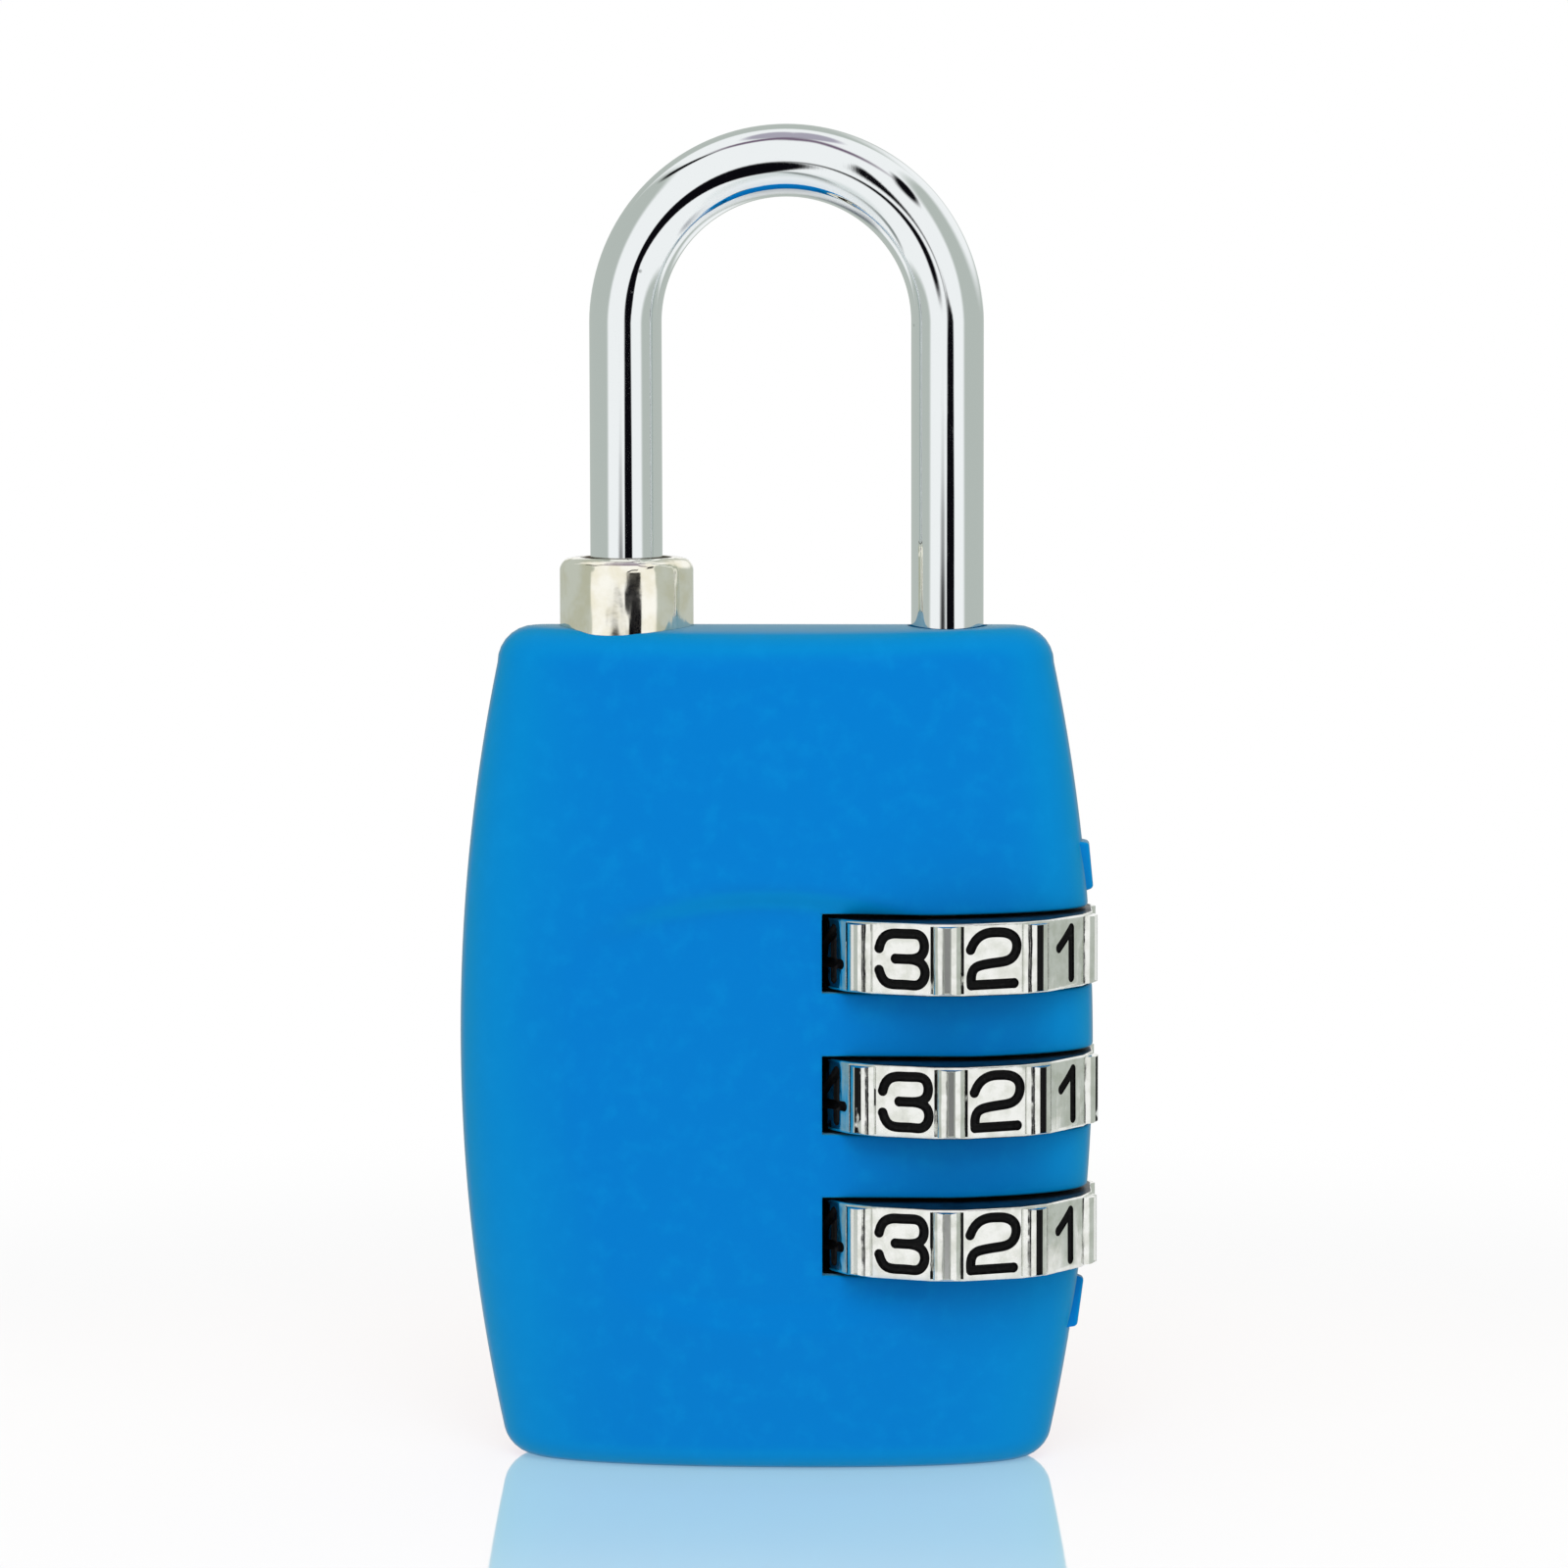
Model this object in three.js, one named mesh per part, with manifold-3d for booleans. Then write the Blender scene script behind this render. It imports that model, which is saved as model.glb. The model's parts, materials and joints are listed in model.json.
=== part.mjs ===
// A small three-dial luggage padlock, in millimetres.
// The origin is the middle of the underside, +X points to the dials, +Y to the back and +Z up.

import * as THREE from 'three';
import { mergeVertices } from 'three/addons/utils/BufferGeometryUtils.js';
import Module from 'manifold-3d';

const wasm = await Module();
wasm.setup();

// Outer form of the moulded case
const caseHeight = 40.8;
const caseHalfWidth = 15.45;
const caseHalfDepth = 6.1;
const sideArcRadius = 90.7; // the left and right sides bulge along this arc
const faceArcRadius = 143.5; // the front and the back bulge along this one
const planExponent = 2.2; // 2 makes the plan an ellipse, more makes it squarer
const bottomFillet = 1.3;
const topFillet = 1.8;
const crownRadius = 12; // the top falls away to the front and the back
const wallThickness = 1;
const floorThickness = 1.2;
const roofThickness = 1.6;
const seamPlane = 2.4; // y of the joint between the shell and its back cover
const seamGap = 0.1;

// Flat thumb recess on the front and on the back
const recessHalfWidth = 12.4; // past where its sides run out of the case
const recessAboveDials = 2.7; // from the top dial's middle to the recess's highest point
const recessBelowDials = 4.1;
const recessEndRadius = 20.5;

// Dials, all on the axis of the shackle's long leg
const dialAxisInset = 7.1; // from the case's widest line in to the axis
const dialPitch = 6.85;
const dialCount = 3;
const dialHeight = 3.5;
const facetCount = 10;
const facetRadius = 7.35; // from the axis to the middle of a facet
const ribRise = 0.3; // of a rib over a facet
const facetWidth = 3;
const ribWidth = 1.2;
const grooveDepth = 0.17;
const grooveSlope = 0.12; // sideways, from a facet's edge to the bottom of its groove
const dialEdgeBevel = 0.2;
const dialFaceClearance = 0.15;
const dialRimClearance = 0.28;

// Case windows and index pointers
const windowReach = 6.15; // from the dials' axis to the left edge
const pointerGap = 0.6;
const pointerLength = 2.65;
const pointerHalfWidth = 1.1;
const pointerTipHalfWidth = 0.2;
const pointerHeight = 0.4;
const pointerTaper = 0.85; // the size of its face beside its foot

// Shackle
const overallHeight = 65;
const barRadius = 1.75;
const shortLegInset = 8.23; // from the case's widest line in to the short leg's axis
const lift = 4.6; // how far the shackle rises to free its short leg
const legClearance = 0.2;
const shortLegFreeGap = 0.3; // over the collar once the shackle is up
const shortLegRestGap = 0.3; // to the bottom of the collar's bore
const neckRadius = 1.1; // the long leg is turned down between its fins
const finHeight = 1.5;
const finWidth = 1.3;
const shoulderGap = 0.3; // from the top gate ring to the full bar above it
const legEndChamfer = 0.3;
const legTipChamfer = 0.13; // of the long leg's end
const legFloorGap = 2.05; // from that end to the case's floor

// Tumbler sleeves, one inside each dial
const sleeveWall = 0.75;
const gateNeckClearance = 0.2;
const gateHeight = 1.3;
const gateClearance = 0.2; // beside a fin as it slides through
const finRestGap = 0.3; // from a fin to the gate ring that holds it down
const finAboveSleeveEnd = 0.9;
const sleeveBelowDial = 2.1; // from the dial's middle to the sleeve's lower end
const sleeveEndGap = 0.15;
const lugWidth = 1;
const lugReach = 0.8;
const lugHeight = 1.5;
const lugDrop = 0.1; // the lug's top is this far under the dial's middle
const sleeveClearance = 0.2;
const lugClearance = 0.2;

// Hexagonal collar round the short leg
const collarHeight = 3.3;
const collarShoulder = 0.31; // of a flat past the spigot
const collarCornerRounding = 0.7;
const collarLeastRounding = 0.1;
const collarTopRounding = 0.6;
const collarSeatDepth = 0.5;
const collarSpigotWall = 0.65;
const collarFloorThickness = 2; // the spigot's closed end, under the short leg
const collarClearance = 0.15;

// Die-cast lock core
const coreLeftInset = 4.45; // from the case's widest line
const coreRightInset = 3.45;
const coreHalfDepth = 3.6;
const coreFaceGap = 0.6; // to the flat sides of the cavity
const coreClearance = 0.2;
const coreEndGap = 0.3;
const pocketCount = 4;
const pocketWall = 1.2; // to the slot of the detent leaf
const pocketInset = 2.4; // from the casting's left side
const pocketAboveFloor = 6.2;
const pocketBelowRoof = 7.2;
const pocketRib = 1.1;
const pocketWeb = 1.6; // metal left between the front and back pockets

// Detent leaf that clicks the dials into place, and the two pins that hold it
const leafThickness = 0.25;
const leafRise = 1.65; // of a crest over the flat stretches
const leafWidth = 2.4;
const leafOverhang = 2.3; // past the outermost slots
const leafCrestHalfHeight = 1.7;
const leafGap = 0.3; // from a crest to the dial
const leafSlotClearance = 0.2;
const leafPinRadius = 0.4;
const leafPinInset = 0.8;
const pinClearance = 0.1;
const pinInset = 0.15; // from a pin's end to the core's face

// Reset spring with its seat, the stop ring on the long leg and the closing plate
const springWire = 0.4;
const springRingGap = 0.2; // round the stop ring
const springTurns = 5;
const springEndGap = 0.12;
const springBoreClearance = 0.15;
const seatThickness = 0.5;
const seatRimClearance = 0.1;
const seatBoreClearance = 0.25;
const stopRingThickness = 0.4;
const stopRingReach = 0.7; // past the neck
const stopRingSnap = 0.08; // the mouth is this much narrower than the groove, each side
const stopGrooveDepth = 0.3;
const stopGrooveClearance = 0.1;
const stopGap = 0.1; // under the seat at full lift
const legTipLength = 0.4;
const plateThickness = 0.8;
const plateLeftReach = 8.55; // from the dials' axis
const plateRightReach = 3.35;
const plateClearance = 0.15;
const plateBoreClearance = 0.2; // round the stop ring
const screwReach = 6.15; // from the dials' axis
const screwEdge = 0.55; // from a head to the casting's face
const screwHeadRadius = 1.25;
const screwShankRadius = 0.7;
const screwLength = 5;
const screwTipChamfer = 0.4;
const screwSink = 0.05; // of a head below the plate's face
const screwClearance = 0.12;
const screwSlotWidth = 0.35;
const screwSlotDepth = 0.25;

// Locating posts on the shell, which plug into the back cover
const postRadius = 0.8;
const postClearance = 0.2;
const postSocketWall = 0.6;
const postReach = 0.7; // past the seam
const leftPostInset = 1.5; // from the casting's left side
const rightPostReach = 5.2; // from the dials' axis
const platePostGap = 4.1; // from the closing plate
const leftPostAboveFloor = 4.4;
const leftPostBelowRoof = 4.8;
const rightPostBelowRoof = 3.6;
const platePostAboveFloor = 3.4;

// How finely round forms are drawn
const planSides = 40;
const innerSides = 28;
const innerRings = 5;
const holeSides = 24;
const rimSides = 36;
const smallSides = 12;
const springSides = 5;
const springStepsPerTurn = 10;
const barSides = 16;
const barSteps = 48;
const sideRings = 10;
const filletSteps = 4;
const crownShares = [0.35, 0.7, 0.97]; // where the rings over the crown lie
const crownBlend = 0.3; // between the side's last ring and the fillet's first
const collarCornerSteps = 3;
const recessSteps = 16;
const leafSteps = 8;
const pastCut = 1; // how far a cutting tool runs past what it cuts

// Values worked out from the sizes above
const tau = Math.PI * 2;
const caseMiddleZ = caseHeight / 2;
const roofZ = caseHeight - roofThickness;
const cavityHalfDepth = coreHalfDepth + coreFaceGap;
const recessHalfDepth = cavityHalfDepth + wallThickness;
const dialAxisX = caseHalfWidth - dialAxisInset;
const shortLegX = shortLegInset - caseHalfWidth;
const coreLeftX = coreLeftInset - caseHalfWidth;
const coreRightX = caseHalfWidth - coreRightInset;
const coreBottom = floorThickness + coreEndGap;
const coreTop = roofZ - coreEndGap;

// The dial stack stands on the foot of the long leg, which leaves room below for the lift
const longLegEnd = floorThickness + legFloorGap;
const stopRingBottom = longLegEnd + legTipLength + stopGrooveClearance;
const stopRingTop = stopRingBottom + stopRingThickness;
const seatBottom = stopRingTop + lift + stopGap;
const seatTop = seatBottom + seatThickness;
const sleeveStackBottom = seatTop + sleeveEndGap;
const bottomDialZ = sleeveStackBottom + sleeveBelowDial;
const topDialZ = bottomDialZ + dialPitch * (dialCount - 1);
const dialZs = Array.from({ length: dialCount }, (_, i) => topDialZ - i * dialPitch);
const dialNames = ['top', 'middle', 'bottom'];
const windowLeftX = dialAxisX - windowReach;
const windowHalfHeight = dialHeight / 2 + dialFaceClearance;
const ribRadius = facetRadius + ribRise;
const facetCorner = Math.hypot(facetRadius, facetWidth / 2);
const dialRadius = Math.max(facetCorner, Math.hypot(ribRadius, ribWidth / 2));
const rimClearRadius = dialRadius + dialRimClearance;

const bowRadius = (dialAxisX - shortLegX) / 2;
const bowCentreX = (dialAxisX + shortLegX) / 2;
const bowCentreZ = overallHeight - bowRadius - barRadius;
const legHoleRadius = barRadius + legClearance;
const sleeveBoreRadius = legHoleRadius;
const sleeveRadius = sleeveBoreRadius + sleeveWall;
const sleeveLength = dialPitch - sleeveEndGap;
const sleeveHoleRadius = sleeveRadius + sleeveClearance;
const lugRadius = sleeveRadius + lugReach;
const keywayRadius = lugRadius + lugClearance;
const keywayWidth = lugWidth + 2 * lugClearance;
const finBottom = finAboveSleeveEnd - sleeveBelowDial; // from the dial's middle
const gateBoreRadius = neckRadius + gateNeckClearance;
const gateBottom = finBottom + finHeight + finRestGap;
const gateTop = gateBottom + gateHeight;
const shoulderZ = topDialZ + gateTop + shoulderGap;
const sleeveStackTop = topDialZ - sleeveBelowDial + sleeveLength;

const stopGrooveRadius = neckRadius - stopGrooveDepth;
const stopRingRadius = neckRadius + stopRingReach;
const springMeanRadius = stopRingRadius + springRingGap + springWire / 2;
const springBoreRadius = springMeanRadius + springWire / 2 + springBoreClearance;
const seatRadius = springBoreRadius - seatRimClearance;
const seatBore = neckRadius + seatBoreClearance;

const collarSpigotRadius = legHoleRadius + collarSpigotWall;
const collarCornerRadius = (collarSpigotRadius + collarShoulder) / Math.cos(Math.PI / 6);
const collarTop = caseHeight + collarHeight;
const collarSeatZ = caseHeight - collarSeatDepth;
const shortLegEnd = collarTop - lift + shortLegFreeGap;
const collarBoreBottom = shortLegEnd - shortLegRestGap;
const collarBottom = collarBoreBottom - collarFloorThickness;

const plateTop = coreBottom + plateThickness;
const plateLeftX = dialAxisX - plateLeftReach;
const plateRightX = dialAxisX + plateRightReach;
const plateBore = stopRingRadius + plateBoreClearance;
const screwX = dialAxisX - screwReach;
const screwY = coreHalfDepth - screwHeadRadius - screwEdge;
const screwZ = coreBottom + screwSink;

const leafX = dialAxisX - dialRadius - leafGap - leafRise - leafThickness / 2;
const leafSlotLeft = leafX - leafThickness / 2 - leafSlotClearance;
const leafSlotRight = leafX + leafThickness / 2 + leafSlotClearance;
const leafBottom = bottomDialZ - windowHalfHeight - leafOverhang;
const leafTop = topDialZ + windowHalfHeight + leafOverhang;
const leafPinX = leafSlotRight + leafPinRadius;
const leafPinZs = [leafTop - leafPinInset, leafBottom + leafPinInset];
const pocketLeftX = coreLeftX + pocketInset;
const pocketRightX = leafSlotLeft - pocketWall;
const pocketBottomZ = floorThickness + pocketAboveFloor;
const pocketTopZ = roofZ - pocketBelowRoof;
const postPlaces = [
  [coreLeftX + leftPostInset, floorThickness + leftPostAboveFloor],
  [coreLeftX + leftPostInset, roofZ - leftPostBelowRoof],
  [dialAxisX - rightPostReach, roofZ - rightPostBelowRoof],
  [plateLeftX - platePostGap, floorThickness + platePostAboveFloor],
];

// Materials
const blueCase = new THREE.MeshStandardMaterial({ color: 0x0080cd, roughness: 0.45, metalness: 0 });
const chrome = new THREE.MeshStandardMaterial({ color: 0xd9dde0, roughness: 0.08, metalness: 1 });
const nickel = new THREE.MeshStandardMaterial({ color: 0xcfc8b4, roughness: 0.16, metalness: 1 });
const castZinc = new THREE.MeshStandardMaterial({ color: 0x8f9294, roughness: 0.5, metalness: 1 });
const brass = new THREE.MeshStandardMaterial({ color: 0xc2a25a, roughness: 0.35, metalness: 1 });
const springSteel = new THREE.MeshStandardMaterial({ color: 0x9a9ea2, roughness: 0.3, metalness: 1 });
const zincPlate = new THREE.MeshStandardMaterial({ color: 0xb4b8ba, roughness: 0.35, metalness: 1 });

// Turns a mesh the right way out if its volume comes out negative
function facingOut(geometry) {
  const place = geometry.attributes.position;
  const index = geometry.index.array;
  const [a, b, c] = [new THREE.Vector3(), new THREE.Vector3(), new THREE.Vector3()];
  let volume = 0;
  for (let i = 0; i < index.length; i += 3) {
    a.fromBufferAttribute(place, index[i]);
    b.fromBufferAttribute(place, index[i + 1]);
    c.fromBufferAttribute(place, index[i + 2]);
    volume += a.dot(b.cross(c));
  }
  if (volume >= 0) return Uint32Array.from(index);
  const flipped = Uint32Array.from(index);
  for (let i = 0; i < flipped.length; i += 3) {
    flipped[i + 1] = index[i + 2];
    flipped[i + 2] = index[i + 1];
  }
  return flipped;
}

// A three.js geometry as a solid that can be joined and cut
function solidOf(geometry) {
  const bare = geometry.clone();
  bare.deleteAttribute('normal');
  bare.deleteAttribute('uv');
  const merged = mergeVertices(bare, 1e-5);
  const triVerts = facingOut(merged);
  const vertProperties = merged.attributes.position.array;
  return new wasm.Manifold(new wasm.Mesh({ numProp: 3, vertProperties, triVerts }));
}

function geometryOf(solid) {
  const mesh = solid.getMesh();
  const geometry = new THREE.BufferGeometry();
  geometry.setAttribute('position', new THREE.BufferAttribute(mesh.vertProperties, 3));
  geometry.setIndex(new THREE.BufferAttribute(mesh.triVerts, 1));
  geometry.computeVertexNormals();
  return geometry;
}

function joined(solids) {
  return solids.reduce((whole, next) => whole.add(next));
}

function cut(solid, tools) {
  return tools.reduce((rest, tool) => rest.subtract(tool), solid);
}

// A skin over rings of points, closed by a fan at each end
function loft(rings) {
  const sides = rings[0].length;
  const points = rings.flat();
  const index = [];
  for (let i = 0; i + 1 < rings.length; i += 1) {
    for (let j = 0; j < sides; j += 1) {
      const next = (j + 1) % sides;
      const [a, b] = [i * sides + j, i * sides + next];
      const [c, d] = [b + sides, a + sides];
      index.push(a, b, c, a, c, d);
    }
  }
  const lastRing = (rings.length - 1) * sides;
  for (let j = 1; j + 1 < sides; j += 1) {
    index.push(0, j + 1, j);
    index.push(lastRing, lastRing + j, lastRing + j + 1);
  }
  const geometry = new THREE.BufferGeometry().setFromPoints(points);
  geometry.setIndex(index);
  return solidOf(geometry);
}

function block(x0, x1, y0, y1, z0, z1) {
  const box = new THREE.BoxGeometry(x1 - x0, y1 - y0, z1 - z0);
  return solidOf(box.translate((x0 + x1) / 2, (y0 + y1) / 2, (z0 + z1) / 2));
}

// An upright cylinder at x, y
function rod(radius, z0, z1, x = 0, y = 0, sides = holeSides) {
  const cylinder = new THREE.CylinderGeometry(radius, radius, z1 - z0, sides);
  return solidOf(cylinder.rotateX(Math.PI / 2).translate(x, y, (z0 + z1) / 2));
}

// A cylinder that lies front to back at x, z
function crossRod(radius, y0, y1, x, z, sides = smallSides) {
  const cylinder = new THREE.CylinderGeometry(radius, radius, y1 - y0, sides);
  return solidOf(cylinder.translate(x, (y0 + y1) / 2, z));
}

// A profile of [radius, z] points turned about the z axis
function turned(profile, sides = holeSides) {
  const points = profile.map(([radius, z]) => new THREE.Vector2(radius, z));
  return solidOf(new THREE.LatheGeometry(points, sides).rotateX(Math.PI / 2));
}

function shapeOf(points) {
  return new THREE.Shape(points.map(([x, y]) => new THREE.Vector2(x, y)));
}

function circlePoints(radius, sides) {
  return Array.from({ length: sides }, (_, i) => {
    const turn = tau * i / sides;
    return [radius * Math.cos(turn), radius * Math.sin(turn)];
  });
}

// An outline drawn in x and y, raised from z0 to z1
function raised(shape, z0, z1, curveSegments = 12) {
  const options = { depth: z1 - z0, bevelEnabled: false, curveSegments };
  return solidOf(new THREE.ExtrudeGeometry(shape, options).translate(0, 0, z0));
}

// An outline drawn in x and z, run from y0 to y1
function runThrough(shape, y0, y1, curveSegments = 12) {
  const options = { depth: y1 - y0, bevelEnabled: false, curveSegments };
  const geometry = new THREE.ExtrudeGeometry(shape, options);
  return solidOf(geometry.rotateX(Math.PI / 2).translate(0, y1, 0));
}

function swept(curve, radius, sides, steps) {
  const options = { steps, bevelEnabled: false, extrudePath: curve };
  return solidOf(new THREE.ExtrudeGeometry(shapeOf(circlePoints(radius, sides)), options));
}

// Half width and half depth of the case at a height
function arcHalf(widest, radius, z) {
  return widest - radius + Math.sqrt(radius ** 2 - (z - caseMiddleZ) ** 2);
}

function halfWidthAt(z) {
  return arcHalf(caseHalfWidth, sideArcRadius, z);
}

function halfDepthAt(z) {
  return arcHalf(caseHalfDepth, faceArcRadius, z);
}

// One ring of the case's plan, each point's height coming from its y
function planRing(halfWidth, halfDepth, heightOf, sides = planSides, depthLimit = Infinity) {
  const power = 2 / planExponent;
  return Array.from({ length: sides }, (_, i) => {
    const turn = tau * i / sides;
    const [c, s] = [Math.cos(turn), Math.sin(turn)];
    const x = halfWidth * Math.sign(c) * Math.abs(c) ** power;
    const full = halfDepth * Math.sign(s) * Math.abs(s) ** power;
    const y = Math.max(-depthLimit, Math.min(depthLimit, full));
    return new THREE.Vector3(x, y, heightOf(y));
  });
}

function crownZ(y) {
  return caseHeight - crownRadius + Math.sqrt(crownRadius ** 2 - y ** 2);
}

// The whole outside of the case, with its filleted foot and its crowned top
function caseOuter() {
  const rings = [];
  for (let i = 0; i < filletSteps; i += 1) {
    const turn = Math.PI / 2 * i / filletSteps;
    const inset = bottomFillet * (1 - Math.sin(turn));
    const z = bottomFillet * (1 - Math.cos(turn));
    rings.push(planRing(halfWidthAt(z) - inset, halfDepthAt(z) - inset, () => z));
  }
  const topStart = caseHeight - topFillet;
  const sideTop = crownZ(halfDepthAt(topStart)) - topFillet - crownBlend;
  for (let i = 0; i <= sideRings; i += 1) {
    const z = bottomFillet + (sideTop - bottomFillet) * i / sideRings;
    rings.push(planRing(halfWidthAt(z), halfDepthAt(z), () => z));
  }
  const [topHalfWidth, topHalfDepth] = [halfWidthAt(topStart), halfDepthAt(topStart)];
  for (let i = 0; i <= filletSteps; i += 1) {
    const turn = Math.PI / 2 * i / filletSteps;
    const inset = topFillet * (1 - Math.cos(turn));
    const drop = topFillet * (1 - Math.sin(turn));
    rings.push(planRing(topHalfWidth - inset, topHalfDepth - inset, (y) => crownZ(y) - drop));
  }
  const crownDepth = topHalfDepth - topFillet;
  for (const share of crownShares) {
    const inset = topFillet + crownDepth * share;
    rings.push(planRing(topHalfWidth - inset, topHalfDepth - inset, crownZ));
  }
  return loft(rings);
}

// The same plan set in from the outside, between two heights
function caseInset(inset, z0, z1, depthLimit = Infinity, ringCount = innerRings) {
  const rings = [];
  for (let i = 0; i <= ringCount; i += 1) {
    const z = z0 + (z1 - z0) * i / ringCount;
    const [halfWidth, halfDepth] = [halfWidthAt(z) - inset, halfDepthAt(z) - inset];
    rings.push(planRing(halfWidth, halfDepth, () => z, innerSides, depthLimit));
  }
  return loft(rings);
}

// The flat recess on one face, which ends above and below in arcs
function recessTool(side) {
  const highest = topDialZ + recessAboveDials;
  const lowest = bottomDialZ - recessBelowDials;
  const sweep = Math.asin(recessHalfWidth / recessEndRadius);
  const outline = new THREE.Shape();
  const upright = Math.PI / 2;
  outline.absarc(0, highest - recessEndRadius, recessEndRadius, upright - sweep, upright + sweep);
  outline.absarc(0, lowest + recessEndRadius, recessEndRadius, -upright - sweep, -upright + sweep);
  const [near, far] = [recessHalfDepth, recessHalfDepth + caseHalfDepth];
  const [y0, y1] = side < 0 ? [-far, -near] : [near, far];
  return runThrough(outline, y0, y1, recessSteps);
}

// The opening for one dial: open to the front, the right and the back
function windowTool(z) {
  const [z0, z1] = [z - windowHalfHeight, z + windowHalfHeight];
  const reach = caseHalfWidth + dialRadius;
  const opening = block(windowLeftX, reach, -reach, reach, z0, z1);
  return opening.add(rod(rimClearRadius, z0, z1, dialAxisX, 0, rimSides));
}

// A raised triangle on the right side that points at the index digits
function pointer(wideZ, tipZ) {
  const corners = [
    [-pointerHalfWidth, wideZ],
    [pointerHalfWidth, wideZ],
    [pointerTipHalfWidth, tipZ],
    [-pointerTipHalfWidth, tipZ],
  ];
  const middleZ = (wideZ + tipZ) / 2;
  const ring = (offset, scale) => corners.map(([y, z]) => new THREE.Vector3(
    halfWidthAt(z) + offset,
    y * scale,
    middleZ + (z - middleZ) * scale,
  ));
  return loft([
    ring(-wallThickness / 2, 1),
    ring(pointerHeight / 2, 1),
    ring(pointerHeight, pointerTaper),
  ]);
}

function hexagonRing(radius, rounding, z) {
  const corner = radius - rounding / Math.cos(Math.PI / 6);
  const ring = [];
  for (let i = 0; i < 6; i += 1) {
    const middle = tau * i / 6;
    for (let j = 0; j <= collarCornerSteps; j += 1) {
      const turn = middle + (j / collarCornerSteps - 0.5) * tau / 6;
      ring.push(new THREE.Vector3(
        corner * Math.cos(middle) + rounding * Math.cos(turn),
        corner * Math.sin(middle) + rounding * Math.sin(turn),
        z,
      ));
    }
  }
  return ring;
}

function hexagonColumn(grow, z0, z1) {
  const rounding = collarCornerRounding + grow;
  const radius = collarCornerRadius + grow / Math.cos(Math.PI / 6);
  return loft([hexagonRing(radius, rounding, z0), hexagonRing(radius, rounding, z1)]);
}

// Whole case before it is parted at the seam
function caseWhole() {
  const cavity = caseInset(wallThickness, floorThickness, roofZ, cavityHalfDepth);
  const topWindow = topDialZ + windowHalfHeight + pointerGap;
  const bottomWindow = bottomDialZ - windowHalfHeight - pointerGap;
  const pointers = [
    pointer(topWindow + pointerLength, topWindow),
    pointer(bottomWindow - pointerLength, bottomWindow),
  ];
  const aboveAll = caseHeight + pastCut;
  const body = cut(caseOuter(), [recessTool(-1), recessTool(1)]);
  return cut(joined([body, ...pointers]), [
    cavity,
    ...dialZs.map(windowTool),
    rod(legHoleRadius, roofZ - pastCut, aboveAll, dialAxisX),
    hexagonColumn(collarClearance, collarSeatZ, aboveAll).translate(shortLegX, 0, 0),
    rod(collarSpigotRadius + collarClearance, roofZ - pastCut, aboveAll, shortLegX),
  ]);
}

function halfSpace(y0, y1) {
  const reach = caseHeight;
  return block(-reach, reach, y0, y1, -reach, 2 * reach);
}

const wholeCase = caseWhole();

// The front tub: front, sides, floor and roof in one moulding, with the locating posts
function housingShell() {
  const tub = wholeCase.intersect(halfSpace(-caseHeight, seamPlane - seamGap / 2));
  const posts = postPlaces.map(([x, z]) => {
    const solid = crossRod(postRadius, -caseHalfDepth, seamPlane + postReach, x, z);
    return solid.intersect(caseInset(wallThickness / 2, floorThickness, roofZ));
  });
  return joined([tub, ...posts]);
}

// The back cover, with a socket for each post
function backCover() {
  const cover = wholeCase.intersect(halfSpace(seamPlane + seamGap / 2, caseHeight));
  const inside = caseInset(wallThickness / 2, floorThickness, roofZ);
  const socketRadius = postRadius + postClearance;
  const start = seamPlane + seamGap / 2;
  const bosses = postPlaces.map(([x, z]) => (
    crossRod(socketRadius + postSocketWall, start, caseHalfDepth, x, z).intersect(inside)
  ));
  const sockets = postPlaces.map(([x, z]) => (
    crossRod(socketRadius, start - pastCut, seamPlane + postReach + postClearance, x, z)
  ));
  return cut(joined([cover, ...bosses]), sockets);
}

// The slot that one dial turns in, open to the right
function dialSlot(z) {
  const [z0, z1] = [z - windowHalfHeight, z + windowHalfHeight];
  const round = rod(rimClearRadius, z0, z1, dialAxisX, 0, rimSides);
  const right = coreRightX + pastCut;
  return round.add(block(dialAxisX, right, -rimClearRadius, rimClearRadius, z0, z1));
}

// The seats and slots for the detent leaf and its two pins
function leafCuts() {
  const half = leafWidth / 2 + leafSlotClearance;
  const behind = coreHalfDepth + pastCut;
  const groove = block(
    leafSlotLeft, leafSlotRight, -half, behind,
    leafBottom - leafSlotClearance, leafTop + leafSlotClearance,
  );
  const crests = dialZs.map((z) => block(
    leafSlotLeft, dialAxisX - rimClearRadius + pastCut, -half, behind,
    z - windowHalfHeight, z + windowHalfHeight,
  ));
  const pins = leafPinZs.map((z) => (
    crossRod(leafPinRadius + pinClearance, -behind, behind, leafPinX, z)
  ));
  return [groove, ...crests, ...pins];
}

// Rows of pockets that thin the solid end of the casting, front and back
function corePockets() {
  const step = (pocketTopZ - pocketBottomZ + pocketRib) / pocketCount;
  return Array.from({ length: pocketCount }, (_, i) => {
    const z0 = pocketBottomZ + i * step;
    const z1 = z0 + step - pocketRib;
    return joined([-1, 1].map((side) => {
      const [near, far] = [side * pocketWeb / 2, side * (coreHalfDepth + pastCut)];
      return block(pocketLeftX, pocketRightX, Math.min(near, far), Math.max(near, far), z0, z1);
    }));
  });
}

// Clearance holes for the shell's posts, widened at the back for the cover's sockets
function postCuts() {
  const postHole = postRadius + postClearance;
  return postPlaces.map(([x, z]) => {
    const hole = crossRod(postHole, -caseHeight, caseHeight, x, z);
    const bossHole = postHole + postSocketWall + postClearance;
    return hole.add(crossRod(bossHole, seamPlane - postClearance, caseHeight, x, z));
  });
}

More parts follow.
